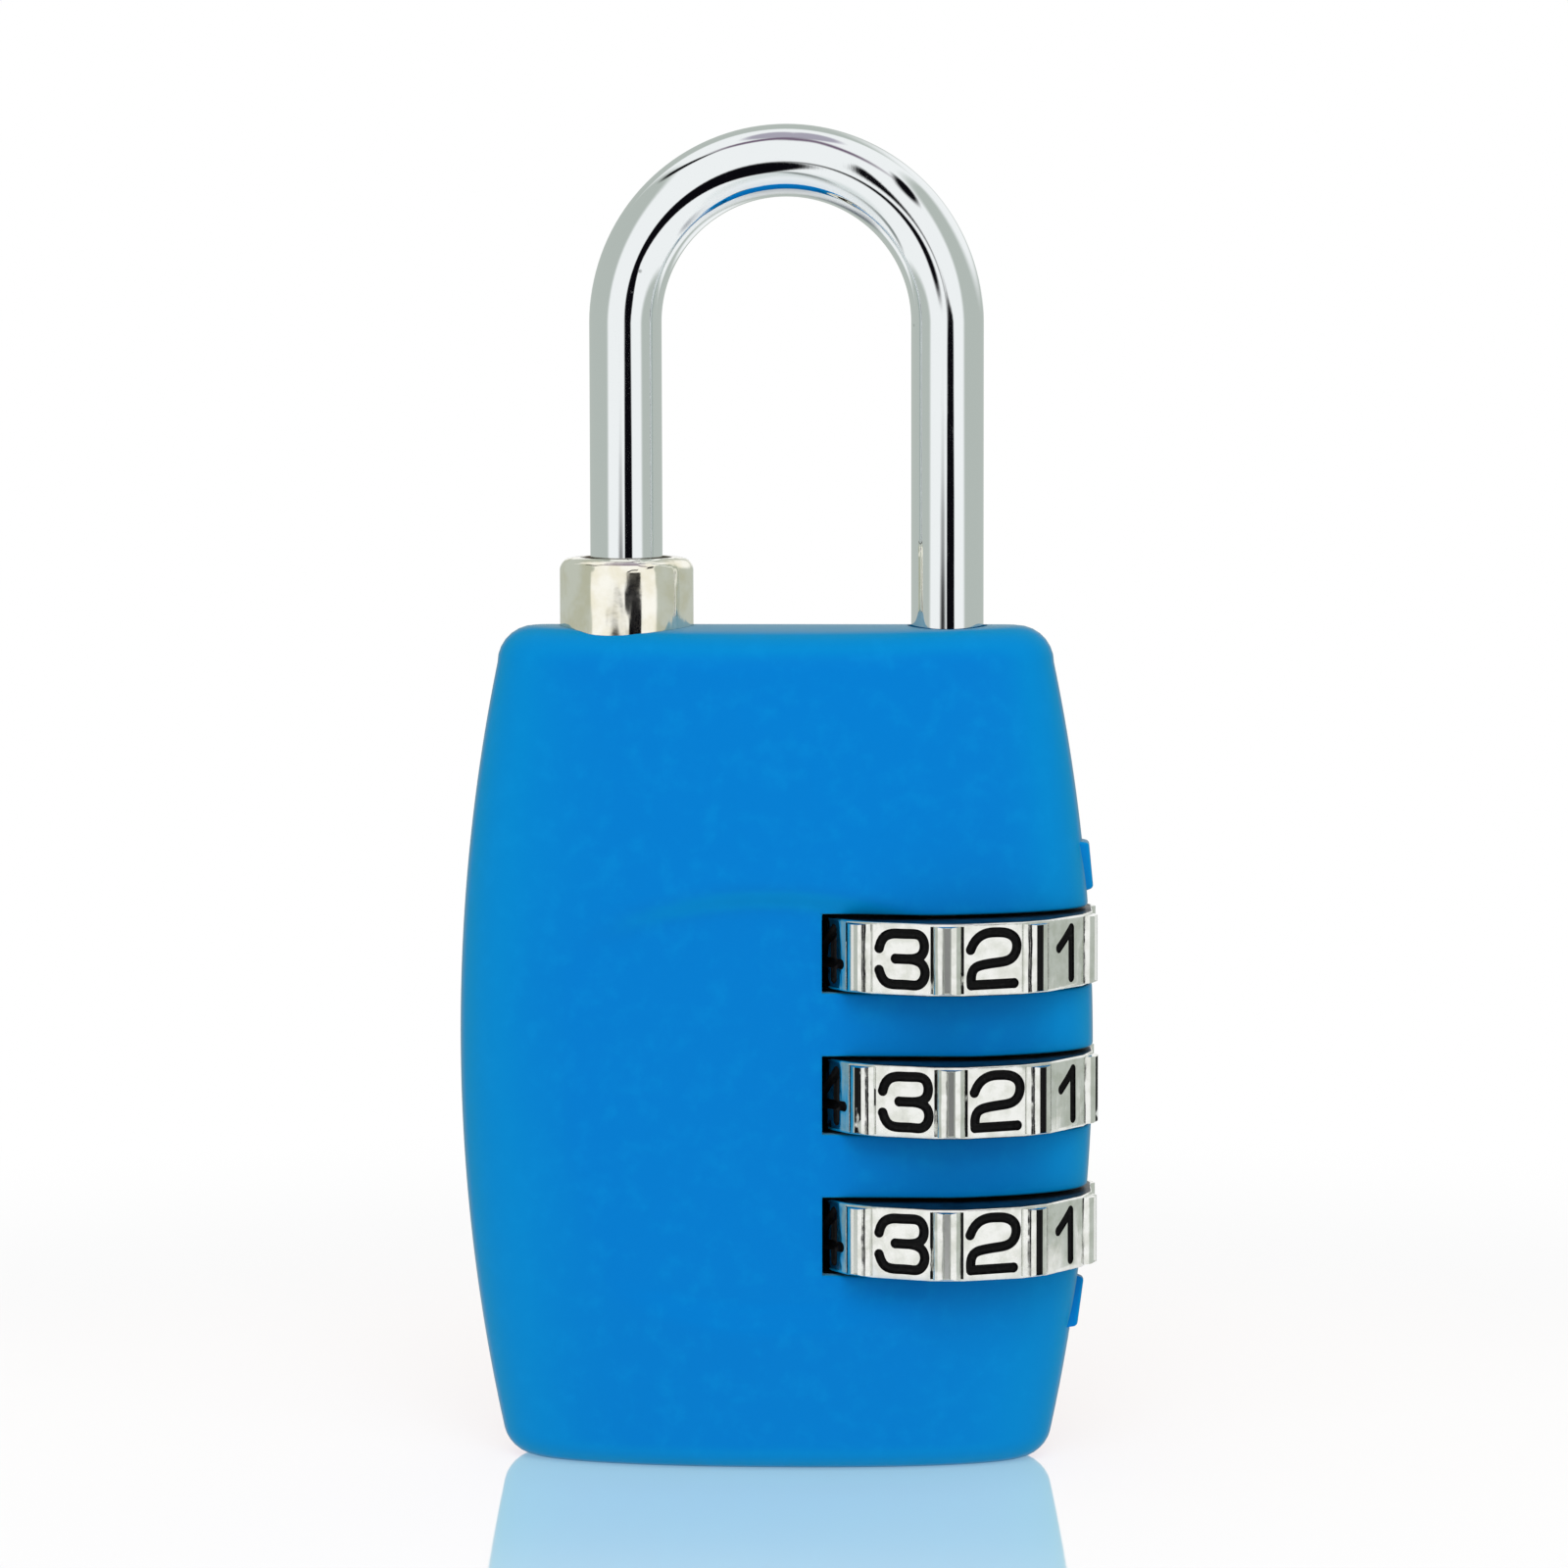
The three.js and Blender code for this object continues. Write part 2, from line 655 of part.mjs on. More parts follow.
// The die-cast core that carries the dials, the leaf, the collar and the closing plate
function coreFrame() {
  const envelope = caseInset(wallThickness + coreClearance, coreBottom, coreTop, coreHalfDepth);
  const body = envelope.intersect(
    block(coreLeftX, coreRightX, -caseHeight, caseHeight, 0, caseHeight),
  );
  const stackTop = sleeveStackTop + sleeveEndGap;
  const keyway = block(
    dialAxisX - keywayRadius, dialAxisX, -keywayWidth / 2, keywayWidth / 2,
    seatTop - lugHeight, topDialZ,
  );
  const holeTop = coreTop + pastCut;
  const spigotEnd = collarBottom - coreEndGap;
  const screwHole = screwShankRadius + screwClearance;
  const screwHoleTop = coreBottom + screwLength + coreEndGap;
  return cut(body, [
    ...dialZs.map(dialSlot),
    rod(sleeveHoleRadius, seatBottom - coreEndGap, stackTop, dialAxisX),
    keyway,
    rod(springBoreRadius, 0, seatTop, dialAxisX),
    rod(legHoleRadius, stackTop - pastCut, holeTop, dialAxisX),
    rod(collarSpigotRadius + collarClearance, spigotEnd, holeTop, shortLegX),
    block(
      plateLeftX - plateClearance, coreRightX + pastCut, -caseHeight, caseHeight,
      0, plateTop + plateClearance,
    ),
    ...[-screwY, screwY].map((y) => rod(screwHole, 0, screwHoleTop, screwX, y, smallSides)),
    ...leafCuts(),
    ...corePockets(),
    ...postCuts(),
  ]);
}

// The hexagonal collar: a rounded nut form over a closed spigot, bored for the short leg
function collar() {
  const rings = [hexagonRing(collarCornerRadius, collarCornerRounding, collarSeatZ + collarClearance)];
  for (let i = 0; i <= filletSteps; i += 1) {
    const turn = Math.PI / 2 * i / filletSteps;
    const inset = collarTopRounding * (1 - Math.cos(turn));
    const z = collarTop - collarTopRounding * (1 - Math.sin(turn));
    const radius = collarCornerRadius - inset / Math.cos(Math.PI / 6);
    rings.push(hexagonRing(radius, Math.max(collarCornerRounding - inset, collarLeastRounding), z));
  }
  const spigot = rod(collarSpigotRadius, collarBottom, collarTop - collarTopRounding);
  const bore = rod(legHoleRadius, collarBoreBottom, collarTop + pastCut);
  return loft(rings).add(spigot).subtract(bore);
}

// A ring that trims the lower end of a square-cut bar to a chamfer
function chamferRing(radius, endZ) {
  const [inner, outer] = [radius - legEndChamfer, radius + pastCut];
  return turned([
    [inner, endZ - pastCut],
    [outer, endZ - pastCut],
    [outer, endZ + legEndChamfer],
    [radius, endZ + legEndChamfer],
    [inner, endZ],
    [inner, endZ - pastCut],
  ], barSides * 2);
}

// The shackle: a bent bar whose long leg is turned down to necks and fins
function shackle() {
  const path = new THREE.CurvePath();
  const corner = (x, z) => new THREE.Vector3(x, 0, z);
  path.add(new THREE.LineCurve3(corner(shortLegX, shortLegEnd), corner(shortLegX, bowCentreZ)));
  path.add(new BowCurve());
  path.add(new THREE.LineCurve3(corner(dialAxisX, bowCentreZ), corner(dialAxisX, shoulderZ)));
  const bar = swept(path, barRadius, barSides, barSteps);
  const grooveTop = stopRingTop + stopGrooveClearance;
  const grooveBottom = stopRingBottom - stopGrooveClearance;
  const neck = turned([
    [0, longLegEnd],
    [neckRadius - legTipChamfer, longLegEnd],
    [neckRadius, longLegEnd + legTipChamfer],
    [neckRadius, grooveBottom],
    [stopGrooveRadius, grooveBottom],
    [stopGrooveRadius, grooveTop],
    [neckRadius, grooveTop],
    [neckRadius, shoulderZ + shoulderGap],
    [0, shoulderZ + shoulderGap],
  ], barSides).translate(dialAxisX, 0, 0);
  const fins = dialZs.map((z) => {
    const [z0, z1] = [z + finBottom, z + finBottom + finHeight];
    const slab = block(-barRadius, 0, -finWidth / 2, finWidth / 2, z0, z1);
    return slab.intersect(rod(barRadius, z0, z1, 0, 0, barSides * 2)).translate(dialAxisX, 0, 0);
  });
  return cut(joined([bar, neck, ...fins]), [
    chamferRing(barRadius, shortLegEnd).translate(shortLegX, 0, 0),
  ]);
}

class BowCurve extends THREE.Curve {
  getPoint(t, target = new THREE.Vector3()) {
    const turn = Math.PI * (1 - t);
    const x = bowCentreX + bowRadius * Math.cos(turn);
    return target.set(x, 0, bowCentreZ + bowRadius * Math.sin(turn));
  }
}

// A point at a distance along and across a direction that is turned about the axis
function turnedPoint(radial, across, turn) {
  return [
    radial * Math.cos(turn) - across * Math.sin(turn),
    radial * Math.sin(turn) + across * Math.cos(turn),
  ];
}

// One dial's rim: flat facets for the digits, with a groove on each side of every rib
function dialRim() {
  const points = [];
  const pitchTurn = tau / facetCount;
  const grooveHalf = facetWidth / 2 + grooveSlope;
  for (let i = 0; i < facetCount; i += 1) {
    const facet = pitchTurn * i;
    const rib = facet + pitchTurn / 2;
    points.push(
      turnedPoint(facetRadius, -facetWidth / 2, facet),
      turnedPoint(facetRadius, facetWidth / 2, facet),
      turnedPoint(facetRadius - grooveDepth, grooveHalf, facet),
      turnedPoint(ribRadius, -ribWidth / 2, rib),
      turnedPoint(ribRadius, ribWidth / 2, rib),
      turnedPoint(facetRadius - grooveDepth, -grooveHalf, facet + pitchTurn),
    );
  }
  return points;
}

// The dial's bore, with a notch behind each facet for the tumbler's lug
function dialBore() {
  const points = [];
  const boreRadius = sleeveHoleRadius;
  const half = keywayWidth / 2;
  for (let i = 0; i < facetCount; i += 1) {
    const turn = tau * i / facetCount;
    const near = Math.sqrt(boreRadius ** 2 - half ** 2);
    points.push(
      turnedPoint(near, -half, turn),
      turnedPoint(keywayRadius, -half, turn),
      turnedPoint(keywayRadius, half, turn),
      turnedPoint(near, half, turn),
    );
  }
  return points;
}

function dial() {
  const geometry = new THREE.ExtrudeGeometry(shapeOf(dialRim()), {
    depth: dialHeight - 2 * dialEdgeBevel,
    bevelThickness: dialEdgeBevel,
    bevelSize: dialEdgeBevel,
    bevelOffset: -dialEdgeBevel,
    bevelSegments: 1,
  });
  const wheel = solidOf(geometry.translate(0, 0, dialEdgeBevel - dialHeight / 2));
  return wheel.subtract(raised(shapeOf(dialBore()), -dialHeight, dialHeight));
}

// A tumbler sleeve: its gate ring lets the fin through only where the slot is
function tumbler() {
  const [z0, z1] = [-sleeveBelowDial, sleeveLength - sleeveBelowDial];
  const lugTop = -lugDrop;
  const insideWall = (sleeveRadius + sleeveBoreRadius) / 2;
  const lug = block(
    -lugRadius, -insideWall, -lugWidth / 2, lugWidth / 2,
    lugTop - lugHeight, lugTop,
  );
  const slotHalf = finWidth / 2 + gateClearance;
  const slotReach = sleeveBoreRadius * Math.cos(Math.PI / holeSides);
  const slot = block(
    -slotReach, 0, -slotHalf, slotHalf,
    gateBottom - pastCut, gateTop + pastCut,
  );
  const sleeve = turned([
    [gateBoreRadius, gateBottom],
    [sleeveBoreRadius, gateBottom],
    [sleeveBoreRadius, z0],
    [sleeveRadius, z0],
    [sleeveRadius, z1],
    [sleeveBoreRadius, z1],
    [sleeveBoreRadius, gateTop],
    [gateBoreRadius, gateTop],
    [gateBoreRadius, gateBottom],
  ]);
  return sleeve.add(lug).subtract(slot);
}

// The detent leaf: a wavy strip whose crests lie against the dials
function detentLeaf() {
  const waveX = (z) => {
    const nearest = dialZs.find((middle) => Math.abs(z - middle) < leafCrestHalfHeight);
    if (nearest === undefined) return leafX;
    const share = (z - nearest) / leafCrestHalfHeight;
    return leafX + leafRise * (1 + Math.cos(Math.PI * share)) / 2;
  };
  const heights = [leafTop];
  for (const z of dialZs) {
    for (let i = leafSteps; i >= -leafSteps; i -= 1) {
      heights.push(z + leafCrestHalfHeight * i / leafSteps);
    }
  }
  heights.push(leafBottom);
  const step = 0.01;
  const side = (sign) => heights.map((z) => {
    const slope = (waveX(z + step) - waveX(z - step)) / (2 * step);
    const stretch = leafThickness / 2 / Math.hypot(1, slope);
    return [waveX(z) + sign * stretch, z - sign * slope * stretch];
  });
  const outline = [...side(1), ...side(-1).reverse()];
  return runThrough(shapeOf(outline), -leafWidth / 2, leafWidth / 2);
}

// The reset spring, wound round the foot of the long leg
class SpringCurve extends THREE.Curve {
  getPoint(t, target = new THREE.Vector3()) {
    const turn = tau * springTurns * t;
    const lowest = plateTop + springWire / 2 + springEndGap;
    const highest = seatBottom - springWire / 2 - springEndGap;
    const x = springMeanRadius * Math.cos(turn);
    const y = springMeanRadius * Math.sin(turn);
    return target.set(x, y, lowest + (highest - lowest) * t);
  }
}

function resetSpring() {
  return swept(new SpringCurve(), springWire / 2, springSides, springTurns * springStepsPerTurn);
}

function springSeat() {
  const bore = rod(seatBore, seatBottom - pastCut, seatTop + pastCut);
  return rod(seatRadius, seatBottom, seatTop).subtract(bore);
}

// The stop ring: an open washer snapped into the groove near the long leg's end
function stopRing() {
  const inner = stopGrooveRadius + stopGrooveClearance;
  const mouthHalf = stopGrooveRadius - stopRingSnap;
  const outside = stopRingRadius + pastCut;
  const mouth = block(-mouthHalf, mouthHalf, 0, outside, -pastCut, pastCut);
  const half = stopRingThickness / 2;
  return cut(rod(stopRingRadius, -half, half), [rod(inner, -pastCut, pastCut), mouth]);
}

// The closing plate under the spring, bored so the leg's end can dip through it
function closingPlate() {
  const inset = wallThickness + coreClearance;
  const envelope = caseInset(inset, coreBottom, plateTop, coreHalfDepth, 1);
  const blank = envelope.intersect(
    block(plateLeftX, plateRightX, -caseHeight, caseHeight, 0, caseHeight),
  );
  const head = screwHeadRadius + screwClearance;
  const shank = screwShankRadius + screwClearance;
  const above = plateTop + pastCut;
  const sink = turned([
    [0, 0],
    [head, 0],
    [head, screwZ],
    [shank, screwZ + head - shank],
    [shank, above],
    [0, above],
  ]);
  return cut(blank, [
    rod(plateBore, 0, above, dialAxisX),
    ...[-screwY, screwY].map((y) => sink.translate(screwX, y, 0)),
  ]);
}

function plateScrew() {
  const neckZ = screwHeadRadius - screwShankRadius;
  const body = turned([
    [0, 0],
    [screwHeadRadius, 0],
    [screwShankRadius, neckZ],
    [screwShankRadius, screwLength - screwTipChamfer],
    [screwShankRadius - screwTipChamfer, screwLength],
    [0, screwLength],
  ], barSides);
  const half = screwSlotWidth / 2;
  const reach = screwHeadRadius + screwClearance;
  return body.subtract(block(-reach, reach, -half, half, -pastCut, screwSlotDepth));
}

function leafPin() {
  return crossRod(leafPinRadius, pinInset - coreHalfDepth, coreHalfDepth - pinInset, 0, 0);
}

// The assembly
const padlock = new THREE.Group();

function addPiece(parent, name, solid, material, place = [0, 0, 0]) {
  const mesh = new THREE.Mesh(geometryOf(solid), material);
  mesh.name = name;
  mesh.position.set(...place);
  parent.add(mesh);
}

addPiece(padlock, 'housing_shell', housingShell(), blueCase);
addPiece(padlock, 'back_cover', backCover(), blueCase);
addPiece(padlock, 'core_frame', coreFrame(), castZinc);
addPiece(padlock, 'collar', collar(), nickel, [shortLegX, 0, 0]);
addPiece(padlock, 'closing_plate', closingPlate(), zincPlate);
addPiece(padlock, 'plate_screw_front', plateScrew(), zincPlate, [screwX, -screwY, screwZ]);
addPiece(padlock, 'plate_screw_back', plateScrew(), zincPlate, [screwX, screwY, screwZ]);
addPiece(padlock, 'detent_leaf', detentLeaf(), springSteel);
addPiece(padlock, 'leaf_pin_upper', leafPin(), zincPlate, [leafPinX, 0, leafPinZs[0]]);
addPiece(padlock, 'leaf_pin_lower', leafPin(), zincPlate, [leafPinX, 0, leafPinZs[1]]);
addPiece(padlock, 'shackle', shackle(), chrome);

// Everything else is stacked on the dial axis
const dialAxis = new THREE.Group();
dialAxis.position.set(dialAxisX, 0, 0);
padlock.add(dialAxis);
addPiece(dialAxis, 'reset_spring', resetSpring(), springSteel);
addPiece(dialAxis, 'spring_seat', springSeat(), brass);
const stopRingZ = (stopRingTop + stopRingBottom) / 2;
addPiece(dialAxis, 'stop_ring', stopRing(), springSteel, [0, 0, stopRingZ]);
dialZs.forEach((z, i) => {
  addPiece(dialAxis, `dial_${dialNames[i]}`, dial(), chrome, [0, 0, z]);
  addPiece(dialAxis, `tumbler_${dialNames[i]}`, tumbler(), brass, [0, 0, z]);
});

export default padlock;
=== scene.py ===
import json
import math

import bmesh
import bpy
from mathutils import Matrix, Vector


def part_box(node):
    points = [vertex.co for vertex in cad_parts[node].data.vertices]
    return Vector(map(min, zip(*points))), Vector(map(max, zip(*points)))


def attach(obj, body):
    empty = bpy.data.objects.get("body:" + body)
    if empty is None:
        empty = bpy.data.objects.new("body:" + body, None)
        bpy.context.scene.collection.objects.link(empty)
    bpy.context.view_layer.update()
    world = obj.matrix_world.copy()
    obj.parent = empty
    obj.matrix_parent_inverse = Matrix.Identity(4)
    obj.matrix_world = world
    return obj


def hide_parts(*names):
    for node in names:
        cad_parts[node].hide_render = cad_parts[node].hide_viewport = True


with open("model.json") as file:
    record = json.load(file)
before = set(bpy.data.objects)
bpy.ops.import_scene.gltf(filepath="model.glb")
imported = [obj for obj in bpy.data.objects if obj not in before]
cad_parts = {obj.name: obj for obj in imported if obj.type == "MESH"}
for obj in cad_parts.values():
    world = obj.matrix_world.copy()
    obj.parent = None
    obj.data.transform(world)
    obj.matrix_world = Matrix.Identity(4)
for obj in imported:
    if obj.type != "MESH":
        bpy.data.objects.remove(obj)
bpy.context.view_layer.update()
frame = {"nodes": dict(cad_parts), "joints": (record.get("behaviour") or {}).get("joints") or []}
mm = 0.001  # pieces are drawn in millimetres, and finishPiece() brings them to the frame's metres
slack = 0.01  # how far apart two places may be, in millimetres, and still count as one
overlap = 1  # millimetres that a tool runs past what it cuts or joins
fineSides = 96  # of round forms that are seen from near by
smoothAngle = 35  # degrees, past which an edge stays sharp


def boxOf(node):
    # lowest and highest corner of a CAD node, in millimetres
    low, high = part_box(node)
    return low / mm, high / mm


# Places that the CAD gives
caseLow, caseHigh = boxOf("housing_shell")
dialNodes = ["dial_top", "dial_middle", "dial_bottom"]
dialMiddles = [(boxOf(node)[0] + boxOf(node)[1]) / 2 for node in dialNodes]
dialAxisX = frame["joints"][1]["pos_m"][0] / mm
shortLegX = (boxOf("collar")[0].x + boxOf("collar")[1].x) / 2
legHoleRadius = 1.95  # in the case and the collar, round the shackle's bar


# Camera
cameraView = {
    "aim": (0.41, 0, 33.05),
    "distance": 281.8,
    "swing": 2.6,  # to the padlock's right
    "tiltDown": 5.2,
    "roll": -0.12,
    "lens": 133,
    "clipStart": 0.01,
}


def makeCamera():
    bpy.ops.object.camera_add()
    camera = bpy.context.object
    camera.data.lens = cameraView["lens"]
    camera.data.clip_start = cameraView["clipStart"]
    swing = Matrix.Rotation(math.radians(cameraView["swing"]), 4, "Z")
    tilt = Matrix.Rotation(math.radians(90 - cameraView["tiltDown"]), 4, "X")
    turn = swing @ tilt @ Matrix.Rotation(math.radians(cameraView["roll"]), 4, "Z")
    back = turn @ Vector((0, 0, cameraView["distance"]))
    place = Matrix.Translation((Vector(cameraView["aim"]) + back) * mm)
    camera.matrix_world = place @ turn
    bpy.context.scene.camera = camera


makeCamera()
print("camera placed")


# Modelling helpers

def pick(piece):
    # makes one piece the only selected one
    bpy.ops.object.select_all(action="DESELECT")
    piece.select_set(True)
    bpy.context.view_layer.objects.active = piece


def named(name):
    # the primitive that was just added, its place applied to its mesh
    piece = bpy.context.object
    piece.name = name
    pick(piece)
    bpy.ops.object.transform_apply(location=True, rotation=True, scale=True)
    return piece


def rod(radius, low, high, x=0, sides=48, name="rod"):
    # an upright cylinder between two heights
    middle = (x, 0, (low + high) / 2)
    bpy.ops.mesh.primitive_cylinder_add(
        vertices=sides, radius=radius, depth=high - low, location=middle)
    return named(name)


def block(size, middle, name="block"):
    bpy.ops.mesh.primitive_cube_add(size=1, location=middle, scale=size)
    return named(name)


def startEdit(piece):
    pick(piece)
    bpy.ops.object.mode_set(mode="EDIT")


def endEdit():
    bpy.ops.object.mode_set(mode="OBJECT")


def choose(piece, kind, test):
    # in edit mode, selects the vertices, edges or faces that pass a test
    bpy.ops.mesh.select_mode(type=kind)
    bpy.ops.mesh.select_all(action="DESELECT")
    mesh = bmesh.from_edit_mesh(piece.data)
    parts = {"VERT": mesh.verts, "EDGE": mesh.edges, "FACE": mesh.faces}[kind]
    for part in parts:
        if test(part):
            part.select_set(True)
    mesh.select_flush_mode()
    bmesh.update_edit_mesh(piece.data)


def middleOf(part):
    # middle of an edge or a face
    return sum((v.co for v in part.verts), Vector()) / len(part.verts)


def reshape(piece, rule):
    # moves every vertex to where the rule puts it
    for vertex in piece.data.vertices:
        vertex.co = rule(vertex.co)


def useModifier(piece, kind, **settings):
    pick(piece)
    modifier = piece.modifiers.new(kind.title(), kind)
    for key, value in settings.items():
        setattr(modifier, key, value)
    bpy.ops.object.modifier_apply(modifier=modifier.name)


def combine(piece, tools, operation="DIFFERENCE", **settings):
    # cuts with or adds other meshes, which are then gone
    for tool in tools:
        useModifier(piece, "BOOLEAN", operation=operation, object=tool, solver="EXACT", **settings)
        bpy.data.objects.remove(tool)


def merge(pieces):
    # joins meshes into the first one without changing them
    pick(pieces[0])
    for piece in pieces:
        piece.select_set(True)
    bpy.ops.object.join()
    return bpy.context.object


def copied(piece, name):
    # a copy with its own mesh
    twin = piece.copy()
    twin.data = piece.data.copy()
    twin.name = name
    bpy.context.collection.objects.link(twin)
    return twin


def finishPiece(piece, name, body, replaced, materials):
    # scales to metres, shades, and says what the piece stands for. A piece that has its own
    # materials keeps them
    piece.name = name
    piece.data.name = name
    piece.data.transform(Matrix.Scale(mm, 4))
    pick(piece)
    bpy.ops.object.shade_smooth_by_angle(angle=math.radians(smoothAngle))
    if not piece.data.materials:
        for material in materials:
            piece.data.materials.append(material)
    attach(piece, body)
    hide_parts(*replaced)


# Shader helpers

class Wire:
    # an output socket that can be used in sums
    def __init__(self, tree, socket):
        self.tree = tree
        self.socket = socket

    def math(self, operation, *others):
        values = dict(enumerate([self, *others]))
        return self.tree.add("Math", {"operation": operation}, values)

    def __add__(self, other):
        return self.math("ADD", other)

    def __sub__(self, other):
        return self.math("SUBTRACT", other)

    def __mul__(self, other):
        return self.math("MULTIPLY", other)

    def __truediv__(self, other):
        return self.math("DIVIDE", other)

    def __neg__(self):
        return self * -1

    def __rsub__(self, other):
        return -self + other

    def __rtruediv__(self, other):
        return self.tree.add("Math", {"operation": "DIVIDE"}, {0: other, 1: self})

    __radd__ = __add__
    __rmul__ = __mul__

    def between(self, low, high):
        # 0 at low, 1 at high, smooth in between
        settings = {"interpolation_type": "SMOOTHSTEP"}
        return self.tree.add("MapRange", settings, {0: self, 1: low, 2: high, 3: 0.0, 4: 1.0})


class Tree:
    # a node tree, whose add() takes a node's type, its settings and its inputs
    def __init__(self, nodeTree):
        self.nodes = nodeTree.nodes
        self.links = nodeTree.links
        self.nodes.clear()

    def add(self, kind, settings=None, inputs=None, output=0):
        node = self.nodes.new("ShaderNode" + kind)
        for key, value in (settings or {}).items():
            if key == "stops":
                self.setStops(node.color_ramp, value)
            elif key == "interpolation":
                node.color_ramp.interpolation = value
            else:
                setattr(node, key, value)
        for key, value in (inputs or {}).items():
            socket = node.inputs[key]
            if isinstance(value, Wire):
                self.links.new(value.socket, socket)
            else:
                socket.default_value = value
        return Wire(self, node.outputs[output]) if node.outputs else None

    def setStops(self, ramp, stops):
        while len(ramp.elements) < len(stops):
            ramp.elements.new(0.5)
        for element, (position, color) in zip(ramp.elements, stops):
            element.position = position
            element.color = color

    def mix(self, factor, first, second):
        # a mix of two colours
        settings = {"data_type": "RGBA"}
        return self.add("Mix", settings, {0: factor, 6: first, 7: second}, output=2)

    def noise(self, place, scale, detail=2, roughness=0.5):
        inputs = {"Vector": place, "Scale": scale, "Detail": detail, "Roughness": roughness}
        return self.add("TexNoise", {}, inputs)

    def stretched(self, place, scale):
        return self.add("Mapping", {}, {"Vector": place, "Scale": scale})

    def parts(self, vector):
        # the x, y and z of a vector
        return [self.add("SeparateXYZ", {}, {0: vector}, output=i) for i in range(3)]

    def bump(self, height, distance, strength, under=None):
        inputs = {"Height": height, "Distance": distance, "Strength": strength}
        if under:
            inputs["Normal"] = under
        return self.add("Bump", {}, inputs)


def rgb(red, green, blue):
    # an sRGB colour of 0 to 255, as Blender's linear one
    def linear(value):
        share = value / 255
        return share / 12.92 if share <= 0.04045 else ((share + 0.055) / 1.055) ** 2.4
    return (linear(red), linear(green), linear(blue), 1)


def newMaterial(name, recipe):
    material = bpy.data.materials.new(name)
    material.use_nodes = True
    tree = Tree(material.node_tree)
    place = tree.add("TexCoord", output=3)
    shader = tree.add("BsdfPrincipled", {}, recipe(tree, place))
    tree.add("OutputMaterial", {}, {"Surface": shader})
    return material


# Materials

plastic = {
    # painted sheen: the blue is painted by view angle, deeper seen square on, a little paler
    # aslant, and more cyan towards its edges
    "deep": rgb(0, 116, 193),
    "blue": rgb(0, 129, 197),
    "edge": rgb(0, 134, 188),
    "pale": rgb(4, 137, 204),  # of the mottling
    "paleShare": 0.35,
    # painted reflection: a grey-blue sheen painted into the colour along the very edge
    "sheen": rgb(104, 150, 170),  # along the very edge
    "sheenReach": (0.6, 0.93),
    "sheenShare": 0.8,
    "shine": 0.04,
    "grainSize": 0.00016,
    "grainDepth": 0.000006,
    "rippleDepth": 0.00003,
}


def casePlastic(tree, place):
    cloud = tree.noise(place, 95, 3)
    mottle = tree.noise(place, 900, 3, 0.6)
    grain = tree.noise(place, 1 / plastic["grainSize"], 2)
    grazing = tree.add("LayerWeight", {}, {"Blend": 0.5}, output="Facing")
    # painted sheen: the base colour is painted paler and more cyan as the surface is seen more
    # aslant
    aslant = (grazing + cloud * 0.12 - 0.08).between(0, 0.2)
    base = tree.mix(aslant, plastic["deep"], plastic["blue"])
    base = tree.mix(grazing.between(0.2, 0.6), base, plastic["edge"])
    mottling = mottle.between(0.45, 0.8) * plastic["paleShare"]
    base = tree.mix(mottling, base, plastic["pale"])
    # painted reflection: the grey-blue sheen is mixed into the base colour where the surface is
    # seen at grazing angles
    sheen = grazing.between(*plastic["sheenReach"]) * plastic["sheenShare"]
    base = tree.mix(sheen, base, plastic["sheen"])
    ripple = tree.bump(tree.noise(place, 240, 2), plastic["rippleDepth"], 0.5)
    return {
        "Base Color": base,
        "Roughness": mottle * 0.08 + 0.36,
        "Specular IOR Level": plastic["shine"],
        "Normal": tree.bump(grain, plastic["grainDepth"], 0.6, ripple),
    }


def barChrome(tree, place):
    rubbed = tree.noise(tree.stretched(place, (1, 1, 0.06)), 9000, 2)
    pits = tree.add("TexVoronoi", {"feature": "F1"}, {"Vector": place, "Scale": 700.0})
    patches = tree.noise(place, 260, 3)
    pit = (1 - pits.between(0.04, 0.1)) * patches.between(0.6, 0.68) * 0.6
    wave = tree.bump(tree.noise(place, 180, 1), 0.000012, 0.6)
    return {
        "Base Color": tree.mix(pit, rgb(236, 240, 241), rgb(120, 124, 124)),
        "Metallic": 1.0,
        "Roughness": rubbed.between(0.55, 0.8) * 0.05 + 0.035 + pit * 0.2,
        "Normal": tree.bump(rubbed, 0.0000006, 0.4, wave),
    }


# painted shade: inside this reach from the short leg's middle the collar's mouth is painted dark
# brown
mouthShadeEdge = (0.0022, 0.00235)  # metres from the short leg's middle


def collarNickel(tree, place):
    wave = tree.bump(tree.noise(tree.stretched(place, (1, 1, 0.25)), 900, 2), 0.00008, 0.8)
    fine = tree.noise(place, 2600, 2)
    tarnish = tree.noise(place, 700, 3).between(0.4, 0.7)
    base = tree.mix(tarnish, rgb(250, 248, 238), rgb(238, 233, 212))
    # painted shade: dark brown painted in the mouth, round the leg, where shade falls
    x, y, _ = tree.parts(place)
    right = x - shortLegX * mm
    reach = (right * right + y * y).math("SQRT") + tree.noise(place, 1200, 2) * 0.0001
    paintedShade = 1 - reach.between(*mouthShadeEdge)
    return {
        "Base Color": tree.mix(paintedShade, base, rgb(84, 72, 62)),
        "Metallic": 1.0,
        "Roughness": fine * 0.06 + paintedShade * 0.3 + 0.05,
        "Normal": tree.bump(fine, 0.000003, 0.5, wave),
    }


def dialChrome(tree, place):
    wave = tree.noise(place, 620, 2)
    streaks = tree.noise(tree.stretched(place, (1, 1, 0.2)), 1300, 2)
    fine = tree.noise(place, 5200, 2)
    haze = tree.noise(place, 1400, 3).between(0.35, 0.7)
    waves = tree.bump(streaks, 0.00005, 0.8, tree.bump(wave, 0.00005, 0.8))
    return {
        "Base Color": tree.mix(haze, rgb(240, 241, 237), rgb(222, 224, 216)),
        "Metallic": 1.0,
        "Roughness": haze * 0.08 + 0.08,
        "Normal": tree.bump(fine, 0.000002, 0.6, waves),
    }


